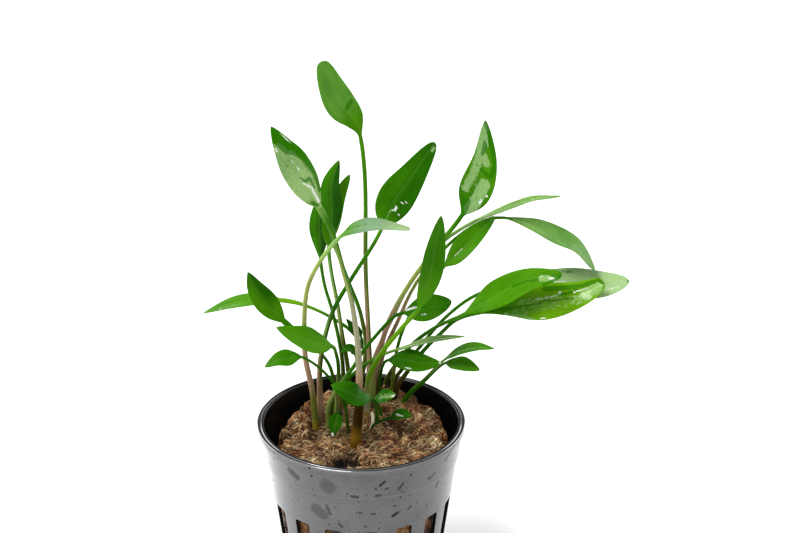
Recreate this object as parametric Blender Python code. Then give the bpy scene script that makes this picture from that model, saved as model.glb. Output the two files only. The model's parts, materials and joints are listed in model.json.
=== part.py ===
"""Potted cryptocoryne: a young aquarium plant rooted in a rockwool plug in a black net pot.

World frame in metres: +Z is up, the pot stands on Z = 0 with its axis on Z, and the side that the
photograph shows faces -Y. Sizes below are in millimetres and MM turns them into metres.
"""

import math

import bmesh
import bpy
from mathutils import Matrix, Vector, noise

MM = 0.001
MERGE_DISTANCE = 1e-4

# Pot
POT_HEIGHT = 50.0
RIM_RADIUS = 27.5
RIM_WIDTH = 1.9
RIM_DEPTH = 1.3
WALL = 0.9
BAND_TOP_RADIUS = 26.7
RIM_ROUND = 0.3
RIM_UNDERCUT = 0.1
STEP_Z = 41.0
STEP_RADIUS = 25.8
STEP_IN = 0.35
STEP_RISE = 0.3
FOOT_RADIUS = 19.9
FOOT_EDGE = 0.8
FLOOR = 1.6
POT_SEGMENTS = 48
GROOVE_DEPTH = 0.35
GROOVE_HALF = 0.25
INNER_RING_DROP = 0.1

# Slots in the wall and in the floor
SLOTS = 16
SLOT_WIDTH = 4.7
SLOT_BOTTOM = 4.5
SLOT_TOP = 30.0
SLOT_CORNER = 0.6
CUT_FROM = 17.5
CUT_TO = 27.5
FIRST_SLOT = 5.6
WALL_BREAK = 33.0
FLOOR_SLOTS = 8
FLOOR_SLOT_WIDTH = 2.6
FLOOR_SLOT_FROM = 7.0
FLOOR_SLOT_TO = 15.5

# Rockwool
WOOL_GAP = 0.4
WOOL_TOP = 46.0
WOOL_SIDE_TOP = 44.6
WOOL_TOP_RADIUS = 23.2
WOOL_SEGMENTS = 30
WOOL_RINGS = (0.86, 0.7, 0.54, 0.38, 0.2)
WOOL_FOOT = 1.2
WOOL_LEVELS = (12, 22, 32)
WOOL_NECK = 38
WOOL_BULGE = 0.6
# The far half stands higher, from FAR_FROM to FAR_TO behind the middle
FAR_RISE = 3.4
FAR_FROM = 2.0
FAR_TO = 20.0
LUMP_SIZE = 8.0
LUMP_HEIGHT = 1.5
SMALL_LUMP = 0.4
# Where the small lumps' noise is read, away from the large ones'
SMALL_LUMP_LEVEL = 40
SIDE_LUMP_SIZE = 5.0
SIDE_LUMP = 0.05
# Hollows torn in the top: middle (x, y), half width and depth
HOLLOWS = (
    ((-2.5, -11.5), 3.6, 6.5),
    ((12.0, -7.5), 3.0, 4.5),
    ((-14.0, 4.5), 2.2, 4.0),
)

# Leaves
ROOT_Z = 43.0
POCKET_GAP = 0.35
POCKET_RINGS = 3
BLADE_THICK = 0.44
TIP_WIDTH = 0.3
WIDEST = 0.45
BASE_TAPER = 1.2
TIP_SHARPNESS = 0.75
TIP_CROWDING = 1.3
TIP_THINNING = 0.4
FOLD = 0.12
SIDES = 8
# A ring of the mesh about every step, within these least and most counts
STALK_STEP = 11.0
STALK_RINGS = (3, 9)
BLADE_STEP = 4.0
BLADE_RINGS = (5, 8)

# How rough each surface is, and linear colours
SKIN_ROUGHNESS = 0.35
WOOL_ROUGHNESS = 0.9
ROOT_ROUGHNESS = 0.5
BLACK_PLASTIC = (0.018, 0.018, 0.019, 1)
WOOL_BROWN = (0.30, 0.17, 0.075, 1)
ROOT_WHITE = (0.62, 0.55, 0.36, 1)
LEAF_GREEN = (0.045, 0.24, 0.012, 1)
YOUNG_GREEN = (0.09, 0.32, 0.012, 1)
DARK_GREEN = (0.02, 0.13, 0.008, 1)

# Each leaf from its root up: the stalk's route, the blade's midrib, the blade's width, where its
# upper face looks, the stalk's width at the root and at the blade. Where a leaf differs from the
# rest: how far along it is widest, how slowly its base widens, how sharp its tip is (1 is a point,
# 0.4 is blunt) and its tint
LEAVES = {
    "leaf_tall": dict(
        stalk=((0.2, 12, ROOT_Z), (2, 10.5, 59), (2, 10.5, 68), (1.3, 9.5, 89), (1.4, 7.5, 112.6)),
        blade=(
            (0.5, 6, 126),
            (-1.3, 5, 132.3),
            (-4.6, 4.5, 136.7),
            (-6.9, 4, 141.7),
            (-9.1, 3, 148.4),
        ),
        width=7.8,
        faces=(0.1, -0.9, 0.4),
        stalk_width=(1.6, 1.1),
        widest=0.52,
        tip=0.36,
    ),
    "leaf_wet_left": dict(
        stalk=(
            (-1.5, -2, ROOT_Z),
            (-0.5, -2, 57),
            (-0.5, -2.5, 70.5),
            (-2, -3, 85),
            (-4, -4, 94.5),
            (-6.5, -5.2, 105.4),
            (-8.4, -6, 110.2),
        ),
        blade=(
            (-9.8, -6.5, 113.3),
            (-12.8, -7.5, 119.3),
            (-16.3, -8.2, 126.4),
            (-18.7, -8.5, 130.8),
            (-21.3, -8, 135.5),
        ),
        width=7.9,
        faces=(0.2, -0.9, 0.5),
        stalk_width=(3.2, 1.2),
        widest=0.4,
        tip=0.75,
    ),
    "leaf_upright_front": dict(
        stalk=((-2.5, 15, ROOT_Z), (1, 14, 62), (0, 11, 75), (-3, 6, 87), (-5.5, 3, 96)),
        blade=((-7, 1, 102), (-7, 0.5, 110), (-7, 0, 117), (-5, 0, 123.5)),
        width=6.2,
        faces=(-0.4, -0.9, 0.2),
        stalk_width=(1.4, 1.0),
        tint=DARK_GREEN,
    ),
    "leaf_upright_back": dict(
        stalk=((-4, 13, ROOT_Z), (-3.5, 12, 57), (-5, 9, 70.5), (-6, 7, 80), (-7.5, 5, 90.5)),
        blade=((-8, 4, 97.5), (-7.5, 4, 104), (-5.8, 4, 111), (-2.5, 4, 118)),
        width=5.0,
        faces=(0.3, -0.9, 0.2),
        stalk_width=(1.4, 1.0),
        tip=0.6,
        tint=YOUNG_GREEN,
    ),
    "leaf_behind_left": dict(
        stalk=(
            (-6, 14.5, ROOT_Z),
            (-5, 14, 54.5),
            (-5.5, 12, 64.5),
            (-7.5, 9.5, 77),
            (-9.3, 8.5, 84.6),
        ),
        blade=((-10.2, 7.5, 91.6), (-10.4, 7, 98.1), (-10.5, 6.5, 104.4), (-9.9, 6, 112.1)),
        width=5.4,
        faces=(-0.3, -0.9, 0.1),
        stalk_width=(1.4, 0.9),
        widest=0.55,
        tint=DARK_GREEN,
    ),
    "leaf_arch": dict(
        stalk=(
            (-12, 4, ROOT_Z),
            (-12.8, 3.5, 56.1),
            (-14.5, 2, 67.5),
            (-14.5, 0.5, 78.6),
            (-13.4, -3, 89.4),
            (-10.4, -6.5, 97.8),
        ),
        blade=((-5.7, -9, 105.4), (-1.4, -10, 108.9), (5.3, -10.5, 110.2), (12.8, -10, 109.1)),
        width=8.2,
        faces=(0, 0, 1),
        stalk_width=(1.8, 1.1),
        tip=0.4,
    ),
    "leaf_centre_right": dict(
        stalk=(
            (-10.5, 5.5, ROOT_Z),
            (-11, 5.5, 55.5),
            (-10.5, 4.5, 66.5),
            (-7.5, 2.5, 79.5),
            (-3, 0, 89.5),
            (3.2, 0, 100),
        ),
        blade=((5.8, 0, 105.3), (9.1, 0, 113), (13.4, 0, 119.6), (18.9, 0, 128.2)),
        width=9.3,
        faces=(0.2, -0.85, 0.5),
        stalk_width=(1.8, 1.0),
        widest=0.36,
        tip=0.5,
    ),
    "leaf_wet_right": dict(
        stalk=(
            (2.8, 15, ROOT_Z),
            (2.8, 14.8, 53.5),
            (4.5, 14, 62),
            (7.5, 12, 73.5),
            (13, 9.5, 85.5),
            (20, 7, 97),
        ),
        blade=((25.4, 5, 105.4), (29, 4, 112.7), (31.5, 3, 122.3), (31.5, 2, 133.3)),
        width=8.6,
        faces=(-0.1, -0.9, 0.4),
        stalk_width=(2.0, 1.2),
        widest=0.42,
        base=1.9,
        tip=0.7,
    ),
    "leaf_edge_right": dict(
        stalk=(
            (1, 17.2, ROOT_Z),
            (1.6, 16.8, 53),
            (4, 16, 62),
            (8, 14, 72.5),
            (13, 12.5, 84),
            (20.5, 10.8, 95.6),
        ),
        blade=((29, 9.2, 102.7), (35.9, 8.5, 106.1), (43.5, 8, 109.2), (51.2, 7.5, 110.7)),
        width=5.6,
        faces=(0, 0.1, 1),
        stalk_width=(1.4, 0.9),
        tip=0.5,
    ),
    "leaf_hanging_right": dict(
        stalk=(
            (3.8, 18.8, ROOT_Z),
            (4.4, 17.8, 54),
            (6, 16.5, 62),
            (9.5, 14.5, 71.5),
            (14.5, 13.5, 83.5),
            (22.5, 11.5, 95),
            (30.5, 10.3, 102),
        ),
        blade=(
            (36.8, 9, 104),
            (44, 7.6, 102.6),
            (50.3, 6.4, 100),
            (55.9, 5.8, 97.1),
            (60.5, 5, 91.1),
        ),
        width=9.3,
        faces=(0.4, -0.15, 0.9),
        stalk_width=(1.7, 0.8),
        widest=0.5,
        tip=0.48,
    ),
    "leaf_under_right": dict(
        stalk=(
            (7, 15.5, ROOT_Z),
            (8.5, 14.5, 56.5),
            (9.5, 13, 64.5),
            (11.5, 11.5, 72),
            (16, 10.8, 82),
        ),
        blade=((21.4, 8.2, 90.2), (25.2, 6.8, 95.1), (29.5, 5.8, 100.3), (34.5, 5.2, 106)),
        width=6.2,
        faces=(-0.5, -0.7, 0.5),
        stalk_width=(1.2, 0.8),
        tip=0.6,
    ),
    "leaf_front_upright": dict(
        stalk=(
            (1.4, 9.4, ROOT_Z),
            (1.5, 8.5, 51.5),
            (2, 6, 59.5),
            (5.5, 1.5, 69),
            (10.5, -2, 77.6),
            (13.6, -4, 82.4),
        ),
        blade=((15.2, -4.5, 85), (17.5, -5, 92.5), (18.9, -5.5, 100.8), (20.5, -6, 110.9)),
        width=6.4,
        faces=(0.4, -0.9, 0.1),
        stalk_width=(1.9, 1.1),
        widest=0.5,
        base=0.6,
        tip=0.65,
        tint=YOUNG_GREEN,
    ),
    "leaf_wet_dark": dict(
        stalk=(
            (-8.5, 4, ROOT_Z),
            (-8.8, 4, 51.5),
            (-6, 3, 58),
            (-2, 2, 64.5),
            (0.5, 2, 69),
            (5, 2, 75),
            (8.5, 2, 79),
        ),
        blade=((10.7, 2, 80.1), (14.9, 1.5, 81.2), (19.5, 1, 82.7), (23.5, 0.5, 84.2)),
        width=7.2,
        faces=(0, -0.7, 0.7),
        stalk_width=(1.4, 0.9),
        widest=0.5,
        tip=0.6,
        tint=DARK_GREEN,
    ),
    "leaf_big_front": dict(
        stalk=(
            (5.6, 21.5, ROOT_Z),
            (6.2, 19.5, 50.5),
            (8.5, 16.5, 57),
            (13.5, 12.5, 66),
            (18.5, 9, 72),
            (23, 6, 76),
        ),
        blade=(
            (26.3, 3.5, 78.9),
            (30.9, 1.5, 83),
            (36.4, 0, 87.1),
            (43.1, -1.5, 91.2),
            (51.4, -2.5, 93.2),
        ),
        width=8.0,
        faces=(0, -0.6, 0.8),
        stalk_width=(1.5, 0.9),
        widest=0.52,
        tip=0.45,
    ),
    "leaf_big_wet": dict(
        stalk=(
            (7.8, 17.5, ROOT_Z),
            (9.5, 15.5, 51.5),
            (12, 12.5, 57.5),
            (16, 9.5, 65),
            (21, 7.6, 71.7),
        ),
        blade=(
            (26.5, 5.6, 77.3),
            (39.2, 2.6, 81.4),
            (47.8, 0.6, 83.9),
            (56, 0.4, 86.2),
            (62.5, 0.6, 89.5),
        ),
        width=9.8,
        faces=(0, -0.7, 0.7),
        stalk_width=(1.7, 1.0),
        widest=0.5,
        base=2.5,
        tip=0.35,
    ),
    "leaf_big_back": dict(
        stalk=(
            (7.8, 21, ROOT_Z),
            (8.6, 19, 51.5),
            (11.5, 16.5, 57.5),
            (15.5, 13.8, 64.5),
            (22, 10.8, 74.5),
        ),
        blade=((30.5, 8.5, 82.5), (41.5, 7, 86), (53, 6, 86.8), (62, 5.5, 86.6), (69.5, 5, 87.9)),
        width=9.1,
        faces=(0, -0.6, 0.8),
        stalk_width=(1.4, 0.9),
        widest=0.6,
        tip=0.55,
    ),
    "leaf_thin_arch": dict(
        stalk=((-8, 7, ROOT_Z), (-7.5, 6.5, 54.5), (-4, 6, 58.5), (0, 6, 62.5), (4.5, 6.4, 65.3)),
        blade=((9, 6, 67.5), (15.5, 4.5, 70.2), (21.5, 3.3, 72.3), (27, 2.4, 73.3)),
        width=5.2,
        faces=(0, 0.05, 1),
        stalk_width=(1.1, 0.8),
    ),
    "leaf_dark_front": dict(
        stalk=((5.2, 16, ROOT_Z), (4.6, 16, 51), (5, 15.8, 55), (5.6, 11.5, 60)),
        blade=((7, 8, 63.5), (11.5, 4.5, 65.5), (16, 2.5, 65.5), (21, 1.5, 66)),
        width=6.2,
        faces=(0.1, -0.75, 0.65),
        stalk_width=(1.0, 0.8),
        tint=DARK_GREEN,
    ),
    "leaf_right_upper": dict(
        stalk=((9.5, 14, ROOT_Z), (11.8, 13, 50.1), (16.7, 9, 57.4)),
        blade=((21.3, 4.5, 64.9), (25.4, 3, 68.6), (30.3, 2, 70.3), (34.8, 1.5, 70.2)),
        width=5.0,
        faces=(0, -0.15, 1),
        stalk_width=(1.0, 0.7),
    ),
    "leaf_right_lower": dict(
        stalk=((11, 15.5, ROOT_Z), (12.3, 14.5, 48.8), (17, 10.5, 56.2)),
        blade=((21.7, 6.5, 63.2), (24.9, 4.5, 64.3), (28, 3, 64.3), (31.1, 2, 63.7)),
        width=5.0,
        faces=(0, -0.4, 0.9),
        stalk_width=(1.0, 0.7),
        tip=0.65,
    ),
    "leaf_far_left": dict(
        stalk=(
            (1, 20.2, ROOT_Z),
            (1.6, 18, 57.5),
            (-2, 15.5, 67.5),
            (-8.5, 14, 73.5),
            (-15.1, 13, 77.3),
        ),
        blade=((-20.3, 13, 78.6), (-26.7, 13.5, 78.6), (-34.1, 14, 77.4), (-41.8, 14, 74.5)),
        width=7.0,
        faces=(0, -0.15, 1),
        stalk_width=(1.3, 0.8),
    ),
    "leaf_left_pointed": dict(
        stalk=((-8, 13.5, ROOT_Z), (-7.5, 13.2, 54), (-9.5, 12.5, 61.5), (-15, 11.5, 68)),
        blade=((-19.7, 11, 72.8), (-23.6, 10.5, 77.6), (-27.2, 10, 82.9), (-29.4, 10, 88.2)),
        width=6.1,
        faces=(0.1, -0.85, 0.5),
        stalk_width=(1.2, 0.8),
    ),
    "leaf_left_bright": dict(
        stalk=((-7, 10.7, ROOT_Z), (-6.5, 9.5, 51.5), (-6, 6.5, 61.5), (-6.5, 3.8, 67.5)),
        blade=((-7.5, 0.8, 71.2), (-12, -2, 73.9), (-16.4, -3.8, 76.5), (-21.4, -5, 79.5)),
        width=7.4,
        faces=(-0.1, -0.6, 0.8),
        stalk_width=(1.5, 0.9),
        widest=0.4,
        tint=YOUNG_GREEN,
    ),
    "leaf_left_small": dict(
        stalk=((-3.4, 3.2, ROOT_Z), (-4.4, 1.5, 54.5), (-7, -1.5, 61.5), (-10.5, -3.5, 67)),
        blade=((-14.8, -4.5, 70.6), (-18.1, -5, 70.7), (-21.2, -5.5, 70.5), (-24.7, -6, 68.6)),
        width=5.4,
        faces=(0, -0.35, 0.9),
        stalk_width=(1.0, 0.7),
    ),
    "leaf_low_left": dict(
        stalk=((4.2, 6.6, ROOT_Z), (4, 4.8, 49.8)),
        blade=((2.8, -2, 57.2), (-0.6, -6.2, 60.2), (-4, -8, 62.9), (-7.5, -8.8, 64.9)),
        width=5.8,
        faces=(0, -0.7, 0.7),
        stalk_width=(1.0, 0.8),
        tint=DARK_GREEN,
    ),
    "leaf_low_right": dict(
        stalk=((5.4, 8.4, ROOT_Z), (5, 7, 49)),
        blade=((3.8, 2.6, 54.8), (5.3, 1, 56.3), (7, -0.2, 57.2), (9, -1.2, 58)),
        width=4.4,
        faces=(0, -0.6, 0.8),
        stalk_width=(0.9, 0.7),
        tip=0.6,
        tint=DARK_GREEN,
    ),
    "leaf_tiny_front": dict(
        stalk=((-5.8, 6.8, ROOT_Z), (-5.6, 5, 49.5)),
        blade=((-6, 2, 51), (-6.5, 0, 50.4), (-7, -1.8, 48.8), (-7.5, -3, 46.6)),
        width=3.6,
        faces=(0, -0.9, 0.5),
        stalk_width=(0.9, 0.7),
        tint=DARK_GREEN,
    ),
    "leaf_soil_right": dict(
        stalk=((2, 0.5, ROOT_Z), (3, 1, 47.5), (5, 2, 48.5)),
        blade=((7.5, 2.8, 49), (9.5, 2.8, 49.8), (11.5, 2.4, 50.2), (13.2, 1.8, 50)),
        width=3.6,
        faces=(0, -0.4, 0.9),
        stalk_width=(0.8, 0.6),
        tip=0.5,
        tint=DARK_GREEN,
    ),
    "leaf_hidden_tip": dict(
        stalk=((-1.4, 17, ROOT_Z), (0.8, 15.8, 60)),
        blade=((0, 14.8, 66.5), (-1, 14.4, 69), (-2.5, 14, 71), (-4, 13.5, 73)),
        width=2.6,
        faces=(-0.3, -0.9, 0.2),
        stalk_width=(0.8, 0.7),
        tint=DARK_GREEN,
    ),
    "leaf_small_mid": dict(
        stalk=((-1.2, 8.6, ROOT_Z), (-1, 8, 60)),
        blade=((-1.4, 7.5, 64.7), (-2.4, 7, 67.2), (-3.8, 6.5, 67.7), (-5.3, 6, 66.7)),
        width=2.6,
        faces=(0, -0.6, 0.8),
        stalk_width=(0.9, 0.7),
        tint=DARK_GREEN,
    ),
}

# The bare root that leaves the front stalk's foot, arches over and dives back into the rockwool
BARE_ROOT = ((2.7, 7.2, 48.2), (3, 6, 48), (3, 4.4, 47), (2.3, 3.2, 44.5))
ROOT_WIDTH = 0.9
ROOT_RINGS = 8


def clear_scene():
    for thing in list(bpy.data.objects):
        bpy.data.objects.remove(thing, do_unlink=True)


def new_collection(name, hidden=False):
    collection = bpy.data.collections.new(name)
    bpy.context.scene.collection.children.link(collection)
    collection.hide_render = hidden
    return collection


def material(name, colour, roughness):
    made = bpy.data.materials.new(name)
    made.use_nodes = True
    shader = made.node_tree.nodes["Principled BSDF"]
    shader.inputs["Base Color"].default_value = colour
    shader.inputs["Roughness"].default_value = roughness
    made.diffuse_color = colour
    return made


def object_from(mesh, name, collection, finish=None):
    """A mesh in millimetres becomes an object in metres."""
    bmesh.ops.scale(mesh, vec=(MM, MM, MM), verts=mesh.verts)
    data = bpy.data.meshes.new(name)
    mesh.to_mesh(data)
    mesh.free()
    made = bpy.data.objects.new(name, data)
    collection.objects.link(made)
    if finish:
        data.materials.append(finish)
    return made


def as_cutter(made):
    made.hide_render = True
    made.display_type = "WIRE"
    return made


def cut(body, cutter):
    step = body.modifiers.new("cut", "BOOLEAN")
    step.operation = "DIFFERENCE"
    step.solver = "EXACT"
    step.object = cutter


# A smooth route through guide points


def curve_point(before, start, end, after, t):
    """A Catmull-Rom span between start and end."""
    return 0.5 * (
        2 * start
        + (end - before) * t
        + (2 * before - 5 * start + 4 * end - after) * t * t
        + (3 * start - before - 3 * end + after) * t * t * t
    )


def span(points, i, t):
    before = points[i - 1] if i else 2 * points[0] - points[1]
    after = points[i + 2] if i + 2 < len(points) else 2 * points[-1] - points[-2]
    return curve_point(before, points[i], points[i + 1], after, t)


def route(points, first, last, count):
    """count + 1 places along the guide points from number first to number last."""
    places = []
    for k in range(count + 1):
        along = first + (last - first) * k / count
        i = min(int(along), len(points) - 2)
        places.append(span(points, i, along - i))
    return places


def blade_half_width(t, leaf):
    """A lance shape, drawn out into the stalk at its base."""
    if not 0 < t < 1:
        return 0.0
    bend = math.log(0.5) / math.log(leaf.get("widest", WIDEST))
    base = leaf.get("base", BASE_TAPER)
    sharpness = base + (leaf.get("tip", TIP_SHARPNESS) - base) * t
    return 0.5 * leaf["width"] * math.sin(math.pi * t**bend) ** sharpness


def ring_count(points, step, counts):
    """How many rings a stretch of guide points needs, within the least and the most."""
    least, most = counts
    length = sum((end - start).length for start, end in zip(points, points[1:]))
    return max(least, min(most, round(length / step)))


def leaf_sections(leaf):
    """The centre, half width, half thickness and lift of the edges of every ring, root to tip."""
    points = [Vector(p) for p in leaf["stalk"] + leaf["blade"]]
    joint = len(leaf["stalk"])
    stalk_rings = ring_count(points[: joint + 1], STALK_STEP, STALK_RINGS)
    blade_rings = ring_count(points[joint:], BLADE_STEP, BLADE_RINGS)
    root, top = (0.5 * w for w in leaf["stalk_width"])
    sections = []
    for k, place in enumerate(route(points, 0, joint, stalk_rings)):
        t = k / stalk_rings
        radius = top + (root - top) * (1 - t) ** 2
        sections.append((place, radius, radius, 0.0))
    blade_span = len(points) - 1 - joint
    for k in range(1, blade_rings + 1):
        t = 1 - (1 - k / blade_rings) ** TIP_CROWDING
        place = route(points, joint, joint + blade_span * t, 1)[-1]
        half = max(blade_half_width(t, leaf), top * (1 - t), 0.5 * TIP_WIDTH)
        thick = 0.5 * BLADE_THICK + (top - 0.5 * BLADE_THICK) * (1 - t) ** 3
        lift = FOLD * half * math.sin(math.pi * t)
        sections.append((place, half, thick * (1 - TIP_THINNING * t), lift))
    return sections, stalk_rings


def frames(sections, blade_from, faces):
    """Side and face directions of each ring: set on the blade, and carried down the stalk."""
    places = [s[0] for s in sections]
    last = len(places) - 1
    along = [(places[min(i + 1, last)] - places[max(i - 1, 0)]).normalized() for i in range(last + 1)]
    found = [None] * (last + 1)
    for i in range(blade_from, last + 1):
        face = faces - faces.dot(along[i]) * along[i]
        found[i] = face.normalized()
    for i in range(blade_from - 1, -1, -1):
        face = found[i + 1] - found[i + 1].dot(along[i]) * along[i]
        found[i] = face.normalized()
    return [(found[i].cross(along[i]), found[i]) for i in range(last + 1)]


def tube(sections, sides):
    """A closed tube of rings, drawn along Z and then carried ring by ring to its place."""
    mesh = bmesh.new()
    drawn = bmesh.ops.create_circle(mesh, cap_ends=True, radius=1, segments=SIDES)
    edges = list({edge for corner in drawn["verts"] for edge in corner.link_edges})
    for _ in sections[1:]:
        grown = bmesh.ops.extrude_edge_only(mesh, edges=edges)
        corners = [part for part in grown["geom"] if isinstance(part, bmesh.types.BMVert)]
        edges = [part for part in grown["geom"] if isinstance(part, bmesh.types.BMEdge)]
        edges = [edge for edge in edges if all(corner in corners for corner in edge.verts)]
        bmesh.ops.translate(mesh, vec=(0, 0, 1), verts=corners)
    bmesh.ops.holes_fill(mesh, edges=edges, sides=SIDES)
    bmesh.ops.recalc_face_normals(mesh, faces=mesh.faces)
    for corner in mesh.verts:
        x, y, level = corner.co
        place, half, thick, lift = sections[round(level)]
        side, face = sides[round(level)]
        corner.co = place + side * (x * half) + face * (y * thick + x * x * lift)
    return mesh


def leaf_mesh(leaf):
    sections, stalk_rings = leaf_sections(leaf)
    sides = frames(sections, stalk_rings + 1, Vector(leaf["faces"]).normalized())
    return tube(sections, sides)


def pocket_mesh(sections, sides):
    """The hole that a stalk stands in: its lowest rings, a little wider."""
    lowest = [(place, half + POCKET_GAP, thick + POCKET_GAP, 0.0) for place, half, thick, _ in sections]
    start = lowest[0]
    down = (start[0] - lowest[1][0]).normalized() * POCKET_GAP
    lowest[0] = (start[0] + down, *start[1:])
    return tube(lowest, sides)


def leaf_pocket(leaf):
    sections, stalk_rings = leaf_sections(leaf)
    sides = frames(sections, stalk_rings + 1, Vector(leaf["faces"]).normalized())
    return pocket_mesh(sections[:POCKET_RINGS], sides[:POCKET_RINGS])


def make_leaves(parts):
    for name, leaf in LEAVES.items():
        tint = leaf.get("tint", LEAF_GREEN)
        object_from(leaf_mesh(leaf), name, parts, material(name, tint, SKIN_ROUGHNESS))


# The pot


def wall_radius(z):
    """Outer radius of the wall below the step."""
    top = STEP_RADIUS - STEP_IN
    return FOOT_RADIUS + (top - FOOT_RADIUS) * (z / STEP_Z)


def spun(profile, segments):
    """A closed body of revolution about Z from an outline of (radius, height)."""
    mesh = bmesh.new()
    corners = [mesh.verts.new((r, 0, z)) for r, z in profile]
    edges = [mesh.edges.new(pair) for pair in zip(corners, corners[1:])]
    bmesh.ops.spin(
        mesh,
        geom=corners + edges,
        axis=(0, 0, 1),
        cent=(0, 0, 0),
        angle=2 * math.pi,
        steps=segments,
        use_merge=True,
    )
    bmesh.ops.remove_doubles(mesh, verts=mesh.verts, dist=MERGE_DISTANCE)
    bmesh.ops.recalc_face_normals(mesh, faces=mesh.faces)
    return mesh


def slot_cutter(size, centre, turn, corner=0.0):
    """A box with its length along X, rounded at its upper corners, moved out and turned about Z."""
    mesh = bmesh.new()
    bmesh.ops.create_cube(mesh, size=1)
    bmesh.ops.scale(mesh, vec=size, verts=mesh.verts)
    if corner:
        upper = [edge for edge in mesh.edges if all(end.co.z > 0 for end in edge.verts)]
        long = [edge for edge in upper if edge.verts[0].co.y == edge.verts[1].co.y]
        bmesh.ops.bevel(
            mesh, geom=long, offset=corner, segments=2, profile=0.5, affect="EDGES", material=-1
        )
    bmesh.ops.translate(mesh, vec=centre, verts=mesh.verts)
    bmesh.ops.rotate(mesh, matrix=Matrix.Rotation(turn, 3, "Z"), verts=mesh.verts)
    return mesh


def ring_of_slots(count, size, centre, corner=0.0):
    """Cutters evenly round the axis, the first one a little to the right of the front."""
    turns = [math.radians(FIRST_SLOT + 360 * k / count - 90) for k in range(count)]
    return joined([slot_cutter(size, centre, turn, corner) for turn in turns])


def joined(meshes):
    whole = bmesh.new()
    for mesh in meshes:
        data = bpy.data.meshes.new("piece")
        mesh.to_mesh(data)
        mesh.free()
        whole.from_mesh(data)
        bpy.data.meshes.remove(data)
    return whole


def make_pot(parts, cutters):
    rim_middle = RIM_RADIUS - 0.5 * RIM_WIDTH
    rim_under = POT_HEIGHT - RIM_DEPTH
    inner_ring_z = POT_HEIGHT - INNER_RING_DROP
    profile = [
        (0, 0),
        (FOOT_RADIUS - FOOT_EDGE, 0),
        (wall_radius(FOOT_EDGE), FOOT_EDGE),
        (wall_radius(WALL_BREAK), WALL_BREAK),
        (STEP_RADIUS - STEP_IN, STEP_Z - STEP_RISE),
        (STEP_RADIUS, STEP_Z),
        (BAND_TOP_RADIUS, rim_under),
        (RIM_RADIUS - RIM_UNDERCUT, rim_under + RIM_UNDERCUT),
        (RIM_RADIUS, POT_HEIGHT - RIM_ROUND),
        (RIM_RADIUS - RIM_ROUND, POT_HEIGHT),
        (rim_middle + GROOVE_HALF, POT_HEIGHT),
        (rim_middle, POT_HEIGHT - GROOVE_DEPTH),
        (rim_middle - GROOVE_HALF, inner_ring_z),
        (RIM_RADIUS - RIM_WIDTH, inner_ring_z),
        (STEP_RADIUS - WALL, STEP_Z),
        (wall_radius(WALL_BREAK) - WALL, WALL_BREAK),
        (wall_radius(FLOOR) - WALL, FLOOR),
        (0, FLOOR),
    ]
    finish = material("net_pot", BLACK_PLASTIC, SKIN_ROUGHNESS)
    pot = object_from(spun(profile, POT_SEGMENTS), "net_pot", parts, finish)
    size = (CUT_TO - CUT_FROM, SLOT_WIDTH, SLOT_TOP - SLOT_BOTTOM)
    centre = (0.5 * (CUT_TO + CUT_FROM), 0, 0.5 * (SLOT_TOP + SLOT_BOTTOM))
    slots = ring_of_slots(SLOTS, size, centre, SLOT_CORNER)
    cut(pot, as_cutter(object_from(slots, "wall_slots", cutters)))
    size = (FLOOR_SLOT_TO - FLOOR_SLOT_FROM, FLOOR_SLOT_WIDTH, 3 * FLOOR)
    centre = (0.5 * (FLOOR_SLOT_TO + FLOOR_SLOT_FROM), 0, 0.5 * FLOOR)
    holes = ring_of_slots(FLOOR_SLOTS, size, centre)
    cut(pot, as_cutter(object_from(holes, "floor_slots", cutters)))


# The rockwool


def wool_lift(x, y):
    """How far the torn top of the rockwool stands above or below its mean height."""
    lump = noise.noise(Vector((x, y, 0)) / LUMP_SIZE) * LUMP_HEIGHT
    small = Vector((x, y, SMALL_LUMP_LEVEL)) / (SMALL_LUMP * LUMP_SIZE)
    lump += noise.noise(small) * SMALL_LUMP * LUMP_HEIGHT
    back = min(1.0, max(0.0, (y - FAR_FROM) / (FAR_TO - FAR_FROM)))
    lump += FAR_RISE * back * back * (3 - 2 * back)
    for (hx, hy), half, depth in HOLLOWS:
        away = math.hypot(x - hx, y - hy) / half
        lump -= depth * math.exp(-away * away)
    return lump


def inside_wall(z):
    return wall_radius(z) - WALL - WOOL_GAP


def wool_mesh():
    """The plug: spun, then its top torn into lumps and hollows and its side made uneven."""
    low = FLOOR + WOOL_GAP
    foot = low + 2 * WOOL_FOOT
    profile = [(0, low), (inside_wall(low) - WOOL_FOOT, low), (inside_wall(foot), foot)]
    profile += [(inside_wall(z), z) for z in WOOL_LEVELS]
    profile += [(WOOL_TOP_RADIUS + WOOL_BULGE, WOOL_NECK), (WOOL_TOP_RADIUS, WOOL_SIDE_TOP)]
    profile += [(WOOL_TOP_RADIUS * part, WOOL_TOP) for part in WOOL_RINGS]
    profile += [(0, WOOL_TOP)]
    mesh = spun(profile, WOOL_SEGMENTS)
    for corner in mesh.verts:
        place = corner.co.copy()
        if place.z >= WOOL_SIDE_TOP:
            share = 1.0 if place.z > WOOL_SIDE_TOP else 0.5
            corner.co.z += share * wool_lift(place.x, place.y)
        elif place.z > foot:
            pinch = 1 - SIDE_LUMP * abs(noise.noise(place / SIDE_LUMP_SIZE))
            corner.co.x *= pinch
            corner.co.y *= pinch
    return mesh


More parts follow.
